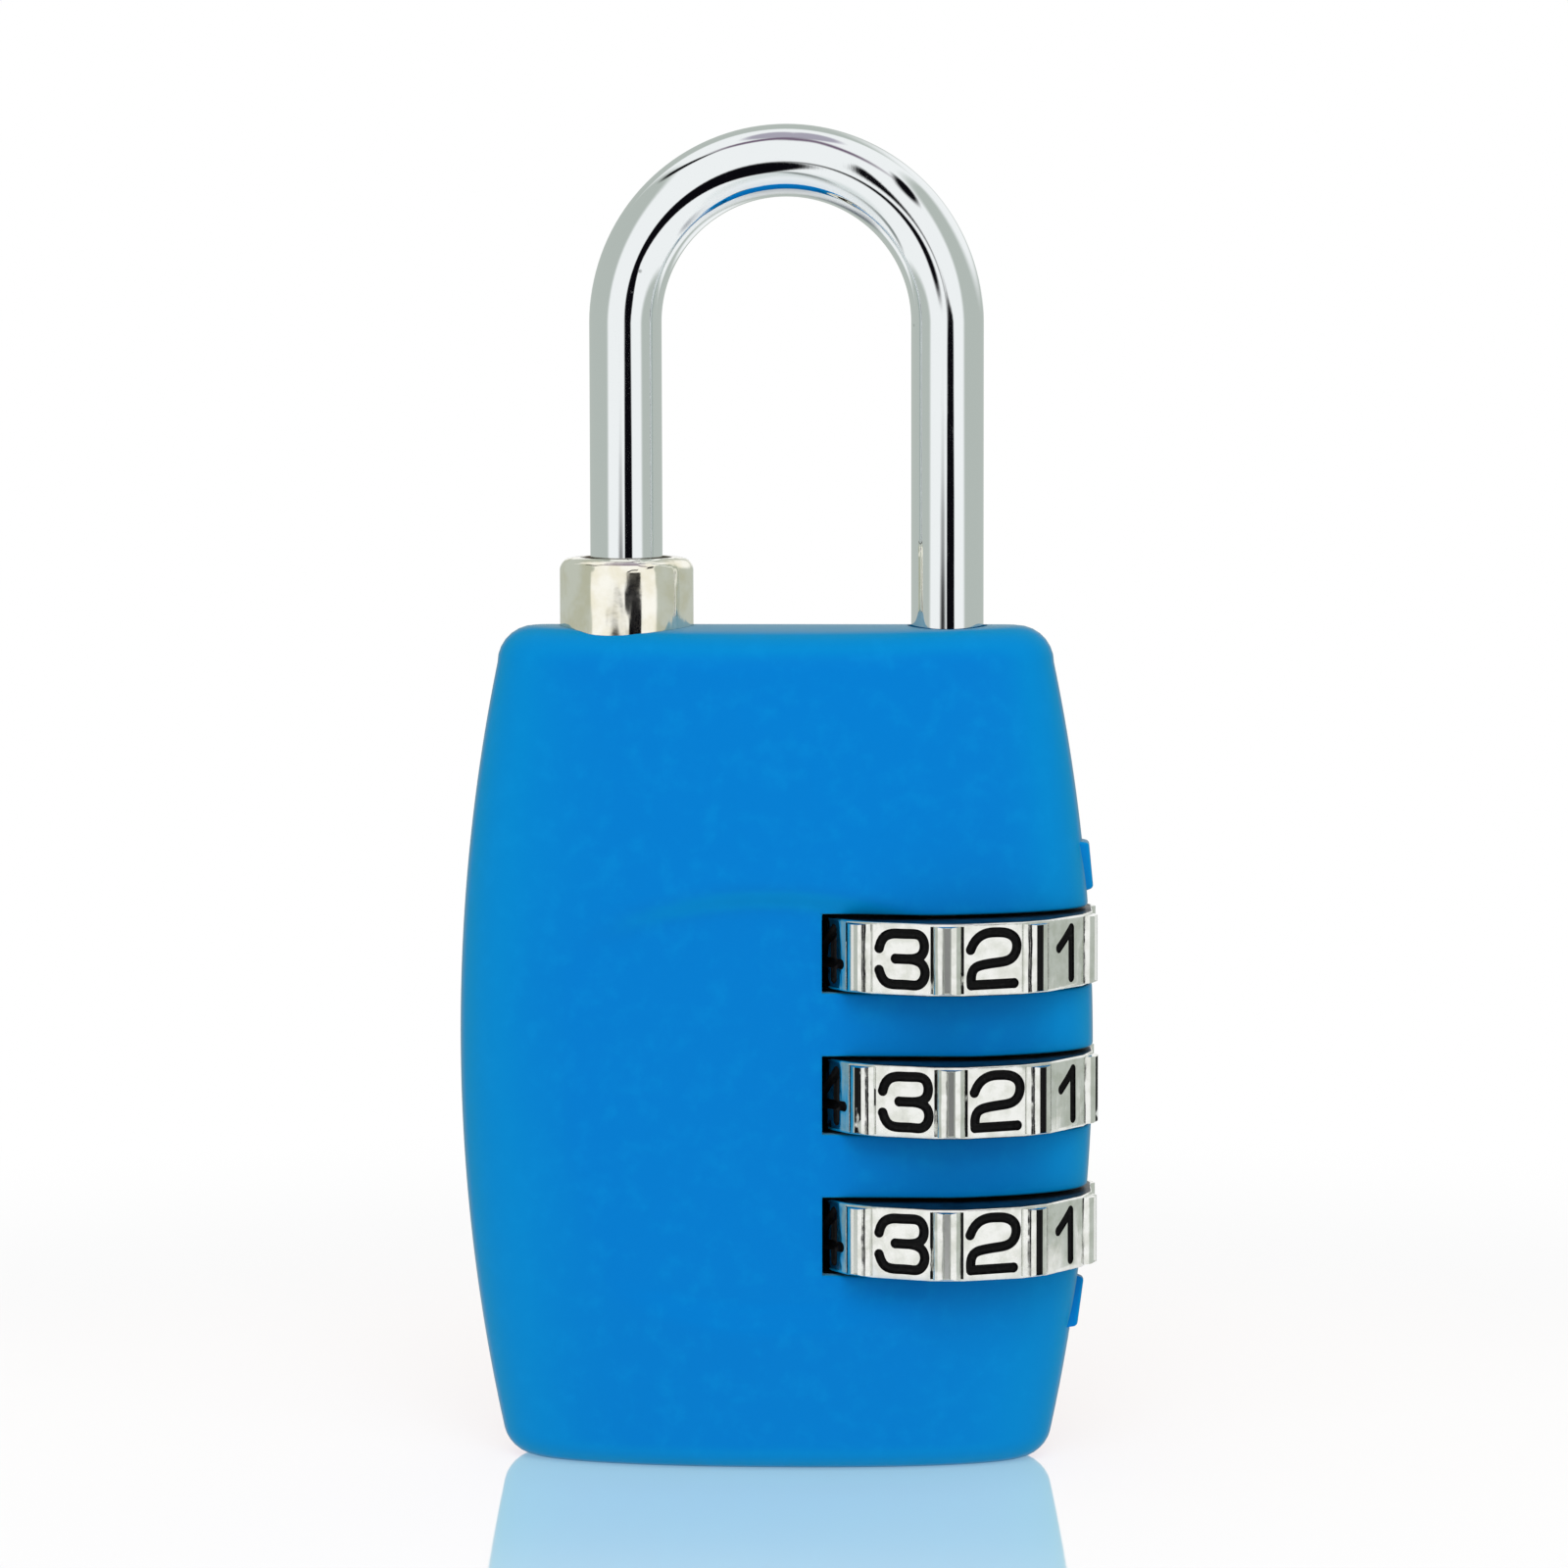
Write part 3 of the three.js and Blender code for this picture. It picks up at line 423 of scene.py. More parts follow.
def dialFace(tree, place):
    # painted shade: the flat sides of the dials are painted dark and dull, as they show only in
    # the shaded gaps round the dials, with darker patches
    paintedShade = tree.noise(place, 1300, 4, 0.6)
    return {
        "Base Color": tree.mix(paintedShade.between(0.4, 0.7), rgb(62, 64, 68), rgb(26, 28, 32)),
        "Metallic": 1.0,
        "Roughness": paintedShade * 0.2 + 0.3,
        "Normal": tree.bump(paintedShade, 0.00001, 0.5),
    }


def dialPaint(tree, place):
    fine = tree.noise(place, 6000, 2)
    return {
        "Base Color": tree.mix(fine.between(0.5, 0.8), rgb(7, 7, 8), rgb(26, 26, 26)),
        "Roughness": fine * 0.2 + 0.45,
        "Specular IOR Level": 0.15,
        "Normal": tree.bump(fine, 0.00001, 0.5),
    }


# share of black paint left on each rib, in the groove on its top and in those at its feet. The
# first rib stands between the digits 5 and 4, the second between 4 and 3, and so on down
paintLeft = {
    "top": [0.62, 0.3, 0.1, 0.85, 0.3, 0.62, 0.2, 0.5, 0.6, 0.3],
    "feet": [0.5, 0.44, 0.62, 0.1, 0.4, 0.55, 0.2, 0.5, 0.3, 0.5],
    "middleDial": 0.25,  # more on top of this dial's ribs
    "edge": (0.44, 0.5),  # from paint to bare metal
    "paint": rgb(9, 9, 10),
    "metal": rgb(226, 228, 224),
}


def wornPaint(tree, place, shares, extra):
    # black paint that wear has left in the grooves along some of the ribs
    x, y, z = tree.parts(place)
    turn = y.math("ARCTAN2", x - dialAxisX * mm) * (0.5 / math.pi) + 0.5
    stops = [(i / 10, (share,) * 3 + (1,)) for i, share in enumerate(shares)]
    left = tree.add("ValToRGB", {"stops": stops, "interpolation": "CONSTANT"}, {0: turn})
    middle = 1 - (z - dialMiddles[1].z * mm).math("ABSOLUTE").between(0.002, 0.004)
    wear = tree.noise(tree.stretched(place, (1, 1, 0.45)), 1700, 3) + 0.5
    bare = (wear - left - middle * extra).between(*paintLeft["edge"])
    return {
        "Base Color": tree.mix(bare, paintLeft["paint"], paintLeft["metal"]),
        "Metallic": bare,
        "Roughness": 0.5 - bare * 0.25,
        "Specular IOR Level": 0.15,
        "Normal": tree.bump(bare, 0.00002, 0.5),
    }


def groovePaint(tree, place):
    return wornPaint(tree, place, paintLeft["feet"], 0)


def ribPaint(tree, place):
    return wornPaint(tree, place, paintLeft["top"], paintLeft["middleDial"])


def castZinc(tree, place):
    # painted shade: the core's zinc is painted near black, far darker than as-cast grey, so the
    # inside seen through the windows reads as shade
    rough = tree.noise(place, 2200, 4, 0.65)
    stain = tree.noise(place, 500, 3).between(0.35, 0.7)
    return {
        "Base Color": tree.mix(stain, rgb(38, 42, 50), rgb(20, 22, 28)),
        "Metallic": 0.8,
        "Roughness": rough * 0.3 + 0.4,
        "Normal": tree.bump(rough, 0.00002, 0.6),
    }


def turnedBrass(tree, place):
    rings = tree.noise(tree.stretched(place, (0.05, 0.05, 1)), 12000, 2)
    tarnish = tree.noise(place, 800, 3).between(0.4, 0.75)
    return {
        "Base Color": tree.mix(tarnish, rgb(206, 176, 104), rgb(150, 118, 62)),
        "Metallic": 1.0,
        "Roughness": tarnish * 0.15 + 0.22,
        "Normal": tree.bump(rings, 0.000004, 0.6),
    }


def drawnSteel(tree, place):
    lines = tree.noise(tree.stretched(place, (1, 1, 0.08)), 7000, 2)
    stain = tree.noise(place, 900, 3).between(0.4, 0.8)
    return {
        "Base Color": tree.mix(stain, rgb(176, 180, 184), rgb(118, 118, 118)),
        "Metallic": 1.0,
        "Roughness": lines * 0.12 + 0.2,
        "Normal": tree.bump(lines, 0.000002, 0.6),
    }


def zincPlate(tree, place):
    bloom = tree.noise(place, 1300, 4, 0.6)
    spangle = tree.add("TexVoronoi", {"feature": "F1"}, {"Vector": place, "Scale": 2200.0}, 1)
    pale = tree.mix(0.25, rgb(196, 202, 206), spangle)
    return {
        "Base Color": tree.mix(bloom.between(0.4, 0.7), pale, rgb(158, 164, 168)),
        "Metallic": 1.0,
        "Roughness": bloom * 0.25 + 0.2,
        "Normal": tree.bump(bloom, 0.000006, 0.5),
    }


finishes = {
    recipe.__name__: newMaterial(recipe.__name__, recipe)
    for recipe in (casePlastic, barChrome, collarNickel, dialChrome, dialFace, dialPaint,
                   groovePaint, ribPaint, castZinc, turnedBrass, drawnSteel, zincPlate)
}
print("materials made")


# Case: a thin moulding whose plan is nearly an ellipse, with bulging sides and a crowned top

case = {
    "height": caseHigh.z,
    "halfWidth": -caseLow.x,
    "halfDepth": -caseLow.y,
    "sideArc": 90.7,  # radius that the left and right sides bulge along
    "faceArc": 143.5,  # the same for the front and the back
    "planPower": 2.2,  # 2 makes the plan an ellipse, more makes it squarer
    "footFillet": 1.3,
    "topFillet": 1.8,
    "filletRings": 7,
    "crownRadius": 20,
    "crownStart": 35.5,  # height at which the sides begin to follow the crown
    "crownShares": [0.2, 0.4, 0.6, 0.8, 0.97],  # of the way from the top's edge to its middle
    "wall": 0.85,
    "columns": 176,
    "ringStep": 0.34,
    "rimBevel": 0.13,
    "rimSegments": 3,
    "seamFront": 2.35,
    "seamBack": 2.45,
    "topCut": 5,  # how far the tools that open the top run above and below it
}
recess = {
    "depth": 1.05,  # from the case's deepest point to the recess's flat floor
    "aboveDials": 2.7,
    "belowDials": 4.1,
    "endRadius": 20.5,
    "edgeWidth": 1.5,
    "sideBlend": 0.12,  # softness of the edges where its floor runs out of the case
    "blendReach": 2,  # and how far from those edges it is worked out
}
window = {
    "leftX": dialAxisX - 5.9,
    "halfHeight": 1.9,
    "rimClear": 7.62,  # radius of the room that a dial turns in
    "rimHalfHeight": 1.88,
}
pointer = {
    "length": 2.65,
    "width": 2.2,
    "tipWidth": 0.7,
    "proud": 0.32,
    "gap": 0.6,  # to the window
    "faceShare": (1, 0.72, 0.86),  # size of its outer face beside its foot
    "bevel": 0.16,
    "bevelSegments": 4,
}


def bulge(widest, radius, z):
    return widest - radius + math.sqrt(radius ** 2 - (z - case["height"] / 2) ** 2)


def halfWidthAt(z):
    return bulge(case["halfWidth"], case["sideArc"], z)


def halfDepthAt(z):
    return bulge(case["halfDepth"], case["faceArc"], z)


def caseRings():
    # (height, half width, half depth) of each ring, from the foot to the crown
    rings = []
    count = case["filletRings"]
    for i in range(count):
        turn = math.pi / 2 * i / count
        inset = case["footFillet"] * (1 - math.sin(turn))
        z = case["footFillet"] * (1 - math.cos(turn))
        rings.append((z, halfWidthAt(z) - inset, halfDepthAt(z) - inset))
    topStart = case["height"] - case["topFillet"]
    edges = [m.z + side * window["halfHeight"] for m in dialMiddles[::-1] for side in (-1, 1)]
    stations = [case["footFillet"], *edges, topStart]
    for low, high in zip(stations, stations[1:]):
        steps = math.ceil((high - low) / case["ringStep"])
        for i in range(steps):
            z = low + (high - low) * i / steps
            rings.append((z, halfWidthAt(z), halfDepthAt(z)))
    width, depth = halfWidthAt(topStart), halfDepthAt(topStart)
    for i in range(count + 1):
        turn = math.pi / 2 * i / count
        inset = case["topFillet"] * (1 - math.cos(turn))
        z = topStart + case["topFillet"] * math.sin(turn)
        rings.append((z, width - inset, depth - inset))
    for share in case["crownShares"]:
        inset = case["topFillet"] + (depth - case["topFillet"]) * share
        rings.append((case["height"], width - inset, depth - inset))
    return rings


def squarer(point):
    # turns a circle into the case's plan
    power = 2 / case["planPower"]
    x = math.copysign(abs(point.x) ** power, point.x)
    y = math.copysign(abs(point.y) ** power, point.y)
    return Vector((x, y, point.z))


def smoothStep(value, low, high):
    share = min(max((value - low) / (high - low), 0), 1)
    return share * share * (3 - 2 * share)


def crowned(point):
    # the top falls away to the front and the back
    radius = case["crownRadius"]
    drop = radius - math.sqrt(radius ** 2 - point.y ** 2)
    topStart = case["height"] - case["topFillet"]
    share = smoothStep(point.z, case["crownStart"], topStart)
    return Vector((point.x, point.y, point.z - drop * share))


def recessed(point):
    # a flat thumb recess, front and back, that ends above and below in soft arcs
    radius = recess["endRadius"]
    highest = dialMiddles[0].z + recess["aboveDials"]
    lowest = dialMiddles[2].z - recess["belowDials"]
    under = radius - math.hypot(point.x, point.z - highest + radius)
    over = radius - math.hypot(point.x, point.z - lowest - radius)
    half = recess["edgeWidth"] / 2
    share = smoothStep(min(under, over), -half, half)
    flat = case["halfDepth"] - recess["depth"]
    excess = abs(point.y) - flat
    soft = recess["sideBlend"]
    if abs(excess) < recess["blendReach"]:
        sunk = (excess + math.sqrt(excess ** 2 + soft ** 2)) / 2
    else:
        sunk = max(excess, 0)
    depth = abs(point.y) - share * sunk
    return Vector((point.x, math.copysign(depth, point.y), point.z))


def caseSkin():
    # the outside, pulled up ring by ring from a circle at the foot
    rings = caseRings()
    z, width, depth = rings[0]
    bpy.ops.mesh.primitive_circle_add(vertices=case["columns"], radius=1, fill_type="NOTHING")
    skin = named("skin")
    reshape(skin, squarer)
    startEdit(skin)
    bpy.ops.mesh.select_all(action="SELECT")
    bpy.ops.transform.resize(value=(width, depth, 1), center_override=(0, 0, 0))
    bpy.ops.mesh.edge_face_add()
    for nextZ, nextWidth, nextDepth in rings[1:]:
        bpy.ops.mesh.extrude_edges_move(TRANSFORM_OT_translate={"value": (0, 0, nextZ - z)})
        scale = (nextWidth / width, nextDepth / depth, 1)
        bpy.ops.transform.resize(value=scale, center_override=(0, 0, nextZ))
        z, width, depth = nextZ, nextWidth, nextDepth
    bpy.ops.mesh.edge_face_add()
    bpy.ops.mesh.select_all(action="SELECT")
    bpy.ops.mesh.normals_make_consistent(inside=False)
    endEdit()
    return skin


def openWindows(skin):
    # straightens the column of vertices nearest the windows' left edge, then opens the faces to
    # its right, and marks the rims for the bevel
    columns = [2 * math.pi * i / case["columns"] + math.pi / 2 for i in range(case["columns"])]
    shares = [squarer(Vector((math.cos(column), 0, 0))).x for column in columns]
    wanted = min(shares, key=lambda share: abs(share * case["halfWidth"] - window["leftX"]))
    low = dialMiddles[2].z - window["halfHeight"]
    high = dialMiddles[0].z + window["halfHeight"]

    def onEdge(vertex):
        share = vertex.co.x / halfWidthAt(vertex.co.z)
        return abs(share - wanted) < slack and low - slack < vertex.co.z < high + slack

    def inWindow(face):
        middle = middleOf(face)
        rows = [abs(middle.z - m.z) < window["halfHeight"] for m in dialMiddles]
        return middle.x > window["leftX"] and any(rows)

    startEdit(skin)
    choose(skin, "VERT", onEdge)
    bpy.ops.transform.resize(value=(0, 1, 1), center_override=(window["leftX"], 0, 0))
    choose(skin, "FACE", inWindow)
    bpy.ops.mesh.delete(type="FACE")
    bpy.ops.mesh.select_mode(type="EDGE")
    bpy.ops.mesh.select_all(action="DESELECT")
    bpy.ops.mesh.select_non_manifold()
    bpy.ops.transform.edge_bevelweight(value=1)
    endEdit()


def pointerAt(wideZ, tipZ):
    # a wedge on the right side, whose narrow end points at the dials
    middleZ = (wideZ + tipZ) / 2
    deep = case["wall"] / 2 + pointer["proud"]
    x = halfWidthAt(middleZ) + pointer["proud"] - deep / 2
    wedge = block((deep, pointer["width"], pointer["length"]), (x, 0, middleZ), "pointer")
    startEdit(wedge)
    choose(wedge, "FACE", lambda f: abs(middleOf(f).z - tipZ) < slack)
    narrow = pointer["tipWidth"] / pointer["width"]
    bpy.ops.transform.resize(value=(1, narrow, 1), center_override=(x, 0, tipZ))
    choose(wedge, "FACE", lambda f: f.normal.x > 0.9)
    bpy.ops.transform.resize(value=pointer["faceShare"], center_override=(x, 0, middleZ))
    choose(wedge, "EDGE", lambda e: middleOf(e).x > x)
    bpy.ops.mesh.bevel(offset=pointer["bevel"], segments=pointer["bevelSegments"])
    endEdit()
    slope = math.asin((middleZ - case["height"] / 2) / case["sideArc"])
    pivot = Matrix.Translation((halfWidthAt(middleZ), 0, middleZ))
    wedge.data.transform(pivot @ Matrix.Rotation(-slope, 4, "Y") @ pivot.inverted())
    return wedge


def pointerEnds():
    # where the upper and the lower pointer begin and end
    reach = window["halfHeight"] + pointer["gap"]
    upper = dialMiddles[0].z + reach
    lower = dialMiddles[2].z - reach
    return [(upper + pointer["length"], upper), (lower - pointer["length"], lower)]


def caseWhole():
    skin = caseSkin()
    reshape(skin, lambda point: recessed(crowned(point)))
    openWindows(skin)
    useModifier(skin, "SOLIDIFY", thickness=case["wall"], offset=-1, use_even_offset=True)
    useModifier(skin, "BEVEL", limit_method="WEIGHT", width=case["rimBevel"],
                segments=case["rimSegments"])
    return skin


def collarColumn(grow, low, high, rounding=0):
    # an upright hexagon with bulging sides, a corner at each side and a flat to the front
    def outward(point):
        share = max(point.z - high + rounding, 0) / rounding if rounding else 0
        inset = collar["topInset"] * (1 - math.sqrt(1 - min(share, 1) ** 2))
        turn = math.atan2(point.y, point.x)
        power = collar["cornerPower"]
        flats = sum(abs(math.cos(turn - math.radians(flat + collar["turn"]))) ** power
                    for flat in (30, 90, 150))
        hexagon = collar["halfDepth"] / flats ** (1 / power)
        ellipse = 1 / math.hypot(math.cos(turn) / collar["halfWidth"],
                                 math.sin(turn) / collar["halfDepth"])
        radius = ellipse + (hexagon - ellipse) * collar["flatness"] + grow - inset
        return Vector((shortLegX + radius * math.cos(turn), radius * math.sin(turn), point.z))

    column = rod(1, low, high - rounding, sides=collar["sides"], name="hexagon")
    if rounding:
        startEdit(column)
        choose(column, "FACE", lambda f: f.normal.z > 0.9)
        step = (0, 0, rounding / collar["topSteps"])
        for _ in range(collar["topSteps"]):
            bpy.ops.mesh.extrude_region_move(TRANSFORM_OT_translate={"value": step})
        endEdit()
    reshape(column, outward)
    return column


def openings():
    # what is cut from the case for the dials, the long leg and the collar
    above = case["height"] + case["topCut"]
    below = case["height"] - case["topCut"]
    rims = [rod(window["rimClear"], m.z - window["rimHalfHeight"], m.z + window["rimHalfHeight"],
                dialAxisX, sides=fineSides) for m in dialMiddles]
    leg = rod(legHoleRadius, below, above, dialAxisX)
    pocket = collarColumn(collar["clearance"], collar["seat"] - collar["clearance"], above)
    spigot = rod(collar["spigotRadius"] + collar["clearance"], below, above, shortLegX)
    return [*rims, leg, pocket, spigot]


def caseHalf(whole, name, seam, cutFront):
    # what is left of the case when its front or its back is cut off at the seam
    half = copied(whole, name)
    startEdit(half)
    bpy.ops.mesh.select_all(action="SELECT")
    bpy.ops.mesh.bisect(plane_co=(0, seam, 0), plane_no=(0, 1, 0), use_fill=True,
                        clear_inner=cutFront, clear_outer=not cutFront)
    endEdit()
    return half


collar = {
    "halfWidth": 3.25,
    "halfDepth": 2.9,
    "cornerPower": 20,  # more makes sharper corners
    "flatness": 0.17,  # 0 makes an ellipse, 1 a hexagon
    "sides": 96,
    "turn": -1.5,  # degrees
    "topRounding": 0.62,
    "topInset": 0.64,
    "topSteps": 8,
    "clearance": 0.02,
    "mouthRadius": 2.16,
    "mouthDepth": 0.35,
    "mouthRounding": 0.07,
    "mouthSegments": 3,
    "seat": 40.45,
    "top": boxOf("collar")[1].z,
    "bottom": boxOf("collar")[0].z,
    "spigotRadius": 2.6,
    "boreBottom": 39.5,
}

wholeCase = caseWhole()
combine(wholeCase, openings())
combine(wholeCase, [pointerAt(*ends) for ends in pointerEnds()], "UNION")
caseFront = caseHalf(wholeCase, "caseFront", case["seamFront"], False)
caseBack = caseHalf(wholeCase, "caseBack", case["seamBack"], True)
bpy.data.objects.remove(wholeCase)
plasticOnly = [finishes["casePlastic"]]
finishPiece(caseFront, "caseFront", "case", ["housing_shell"], plasticOnly)
finishPiece(caseBack, "caseBack", "case", ["back_cover"], plasticOnly)
print("case modelled")


# Collar

def modelCollar():
    body = collarColumn(0, collar["seat"], collar["top"], collar["topRounding"])
    above = collar["top"] + overlap
    spigot = rod(collar["spigotRadius"], collar["bottom"], collar["seat"] + overlap, shortLegX)
    combine(body, [spigot], "UNION")
    combine(body, [rod(legHoleRadius, collar["boreBottom"], above, shortLegX)])
    mouth = rod(collar["mouthRadius"], collar["top"] - collar["mouthDepth"], above, shortLegX,
                sides=fineSides)
    combine(body, [mouth])
    startEdit(body)
    axis = Vector((shortLegX, 0, collar["top"]))
    choose(body, "EDGE", lambda e: all(abs((v.co - axis).length - collar["mouthRadius"]) < slack
                                       for v in e.verts))
    bpy.ops.mesh.bevel(offset=collar["mouthRounding"], segments=collar["mouthSegments"])
    endEdit()
    return body


finishPiece(modelCollar(), "collarNut", "case", ["collar"],
            [finishes["collarNickel"]])
print("collar modelled")


# Shackle: a bent bar whose long leg is turned down to a neck with three fins

shackle = {
    "radius": 1.75,
    "sides": 64,
    "bowSteps": 72,
    "shortEnd": 39.8,
    "longEnd": boxOf("shackle")[0].z,
    "top": boxOf("shackle")[1].z,
    "shoulder": 27.5,
    "shoulderChamfer": 0.2,
    "neckRadius": 1.1,
    "grooveRadius": 0.8,
    "grooveBottom": 3.65,
    "grooveTop": 4.25,
    "chamfer": 0.3,
    "tipChamfer": 0.13,
    "finBottom": -1.2,  # from a dial's middle
    "finHeight": 1.5,
    "finWidth": 1.3,
}


def modelShackle():
    bowRadius = (dialAxisX - shortLegX) / 2
    centre = Vector((shortLegX + bowRadius, 0, shackle["top"] - bowRadius - shackle["radius"]))
    radius = shackle["radius"]
    bpy.ops.mesh.primitive_circle_add(
        vertices=shackle["sides"], radius=radius - shackle["chamfer"], fill_type="NGON",
        location=(shortLegX, 0, shackle["shortEnd"]))
    bar = named("bar")
    startEdit(bar)
    bpy.ops.mesh.select_all(action="SELECT")
    # (height, radius) of each section, up the short leg and then down the long one
    up = [(shackle["shortEnd"] + shackle["chamfer"], radius), (centre.z, radius)]
    down = [
        (shackle["shoulder"] + shackle["shoulderChamfer"], radius),
        (shackle["shoulder"], radius - shackle["shoulderChamfer"]),
        (shackle["shoulder"], shackle["neckRadius"]),
        (shackle["grooveTop"], shackle["neckRadius"]),
        (shackle["grooveTop"], shackle["grooveRadius"]),
        (shackle["grooveBottom"], shackle["grooveRadius"]),
        (shackle["grooveBottom"], shackle["neckRadius"]),
        (shackle["longEnd"] + shackle["tipChamfer"], shackle["neckRadius"]),
        (shackle["longEnd"], shackle["neckRadius"] - shackle["tipChamfer"]),
    ]

    def follow(sections, z, size, x):
        # extrudes the chosen face through the sections, from a first height and size
        for nextZ, nextSize in sections:
            bpy.ops.mesh.extrude_region_move(TRANSFORM_OT_translate={"value": (0, 0, nextZ - z)})
            share = nextSize / size
            bpy.ops.transform.resize(value=(share, share, 1), center_override=(x, 0, nextZ))
            z, size = nextZ, nextSize

    follow(up, shackle["shortEnd"], radius - shackle["chamfer"], shortLegX)
    bpy.ops.mesh.spin(steps=shackle["bowSteps"], angle=-math.pi, center=centre, axis=(0, 1, 0))
    follow(down, centre.z, radius, dialAxisX)
    bpy.ops.mesh.select_all(action="SELECT")
    bpy.ops.mesh.normals_make_consistent(inside=False)
    endEdit()
    fins = []
    for middle in dialMiddles:
        low = middle.z + shackle["finBottom"]
        height = shackle["finHeight"]
        fin = rod(radius, low, low + height, dialAxisX)
        slab = block((radius, shackle["finWidth"], height + overlap),
                     (dialAxisX - radius / 2, 0, low + height / 2))
        combine(fin, [slab], "INTERSECT")
        fins.append(fin)
    combine(bar, fins, "UNION")
    return bar


finishPiece(modelShackle(), "shackleBar", "shackle", ["shackle"],
            [finishes["barChrome"]])
print("shackle modelled")


# Dials: ten flat facets with engraved digits, and a rib on each corner

dial = {
    "facetRadius": 7.05,
    "height": 3.5,
    "facets": 10,
    "cornerCut": 0.84,
    "rimRounding": 0.14,
    "rimSegments": 3,
    # steps over a rib from its foot to the groove along its middle: inset, radius, half height
    # and finish
    "ribSteps": [(0.07, 7.09, 1.63, "groovePaint"), (0.14, 7.36, 1.63, "dialChrome"),
                 (0.2, 7.5, 1.61, "dialChrome"), (0.22, 7.54, 1.58, "dialChrome"),
                 (0.08, 7.44, 1.54, "ribPaint")],
    "boreRadius": 2.9,
    "boreSides": 80,
    "notchReach": 3.7,
    "notchWidth": 1.4,
    "penRadius": 0.255,
    "penDepth": 0.03,
    "penRoundness": 3,
    "penSteps": 4,
    "penSides": 12,
    "penRings": 8,
    "penEndGrow": 1.002,  # keeps a stroke's round end from lying on the stroke's own skin
    "restTurns": (1, 2.5, 0.9),  # degrees: the dials don't sit quite alike in their detents
}
# each digit as strokes of a pen: points right and up from the facet's middle
roundZero = [(0.3, 1.19), (1.02, 1.19), (1.02, 0.5), (1.02, -0.5), (1.02, -1.19), (0.3, -1.19),
             (-0.3, -1.19), (-1.02, -1.19), (-1.02, -0.5), (-1.02, 0.5), (-1.02, 1.19),
             (-0.3, 1.19)]
sixCurve = [(0.95, 0.75), (0.7, 1.19), (0.1, 1.19), (-1.07, 1.19), (-1.07, 0.2), (-1.07, -0.5),
            (-1.07, -1.19), (-0.3, -1.19), (0.4, -1.19), (1.07, -1.19), (1.07, -0.5), (1.07, 0.15),
            (0.3, 0.15), (-0.4, 0.15), (-1.0, -0.1)]
digitStrokes = [
    [roundZero + roundZero[:1]],
    [[(-0.6, 0.3), (-0.05, 0.7), (0.42, 1.16)], [(0.42, 1.16), (0.44, -1.2)]],
    [[(-1.12, 0.5), (-0.95, 0.95), (-0.45, 1.3), (0.15, 1.3), (0.75, 1.28), (1.22, 0.95),
      (1.2, 0.3), (0.85, -0.1), (0.2, -0.15), (-0.45, -0.22), (-1.05, -0.35), (-1.12, -0.85),
      (-1.08, -1.2)],
     [(-1.08, -1.2), (1.05, -1.17)]],
    [[(-1.12, 0.5), (-1.02, 0.98), (-0.6, 1.24), (-0.1, 1.22), (0.4, 1.23), (0.95, 1.25),
      (1.2, 0.8), (1.1, 0.2), (0.6, 0.0), (0.1, 0.02), (-0.3, 0.02)],
     [(0.45, 0.02), (0.9, -0.02), (1.22, -0.35), (1.18, -0.92), (0.85, -1.26), (0.4, -1.21),
      (-0.1, -1.21), (-0.6, -1.23), (-0.98, -1.05), (-1.12, -0.55)]],
    [[(0.45, -1.19), (0.45, 1.19)], [(0.45, 1.19), (-1.05, -0.45)],
     [(-1.05, -0.45), (1.05, -0.45)]],
    [[(0.95, 1.19), (-0.85, 1.19)], [(-0.85, 1.19), (-0.95, 0.15)],
     [(-0.95, 0.15), (-0.4, 0.35), (0.3, 0.4), (1.07, 0.35), (1.07, -0.4), (1.07, -1.19),
      (0.2, -1.19), (-0.6, -1.19), (-1.08, -0.75)]],
    [sixCurve],
    [[(-1.05, 1.19), (1.05, 1.19)], [(1.05, 1.19), (0.1, 0.1), (-0.25, -0.5), (-0.3, -1.19)]],
    [[(0.85 * x, 0.62 + 0.48 * y) for x, y in roundZero + roundZero[:1]],
     [(1.02 * x, -0.57 + 0.52 * y) for x, y in roundZero + roundZero[:1]]],
    [[(-x, -y) for x, y in sixCurve]],
]


def penStroke(points):
    # a smooth tube along the points, with a ball at each end
    curve = bpy.data.curves.new("stroke", "CURVE")
    curve.dimensions = "3D"
    curve.bevel_depth = dial["penRadius"]
    curve.bevel_resolution = dial["penRoundness"]
    curve.resolution_u = dial["penSteps"]
    curve.use_fill_caps = True
    spline = curve.splines.new("NURBS")
    spline.points.add(len(points) - 1)
    for point, (x, z) in zip(spline.points, points):
        point.co = (x, 0, z, 1)
    spline.order_u = min(4, len(points))
    spline.use_endpoint_u = True
    stroke = bpy.data.objects.new("stroke", curve)
    bpy.context.collection.objects.link(stroke)
    pick(stroke)
    bpy.ops.object.convert(target="MESH")
    ends = []
    for x, z in (points[0], points[-1]):
        bpy.ops.mesh.primitive_uv_sphere_add(
            segments=dial["penSides"], ring_count=dial["penRings"],
            radius=dial["penRadius"] * dial["penEndGrow"], location=(x, 0, z))
        ends.append(named("penEnd"))
    return merge([stroke, *ends])


def engraving():
    # every digit's strokes, laid on the facets round the dial's axis
    tools = []
    for digit, strokes in enumerate(digitStrokes):
        glyph = merge([penStroke(points) for points in strokes])
        turn = math.pi / 2 - digit * 2 * math.pi / dial["facets"]
        out = Matrix.Translation((0, dial["penDepth"] - dial["facetRadius"], 0))
        glyph.data.transform(Matrix.Rotation(turn, 4, "Z") @ out)
        tools.append(glyph)
    tool = merge(tools)
    tool.data.materials.clear()
    tool.data.materials.append(finishes["dialPaint"])
    return tool


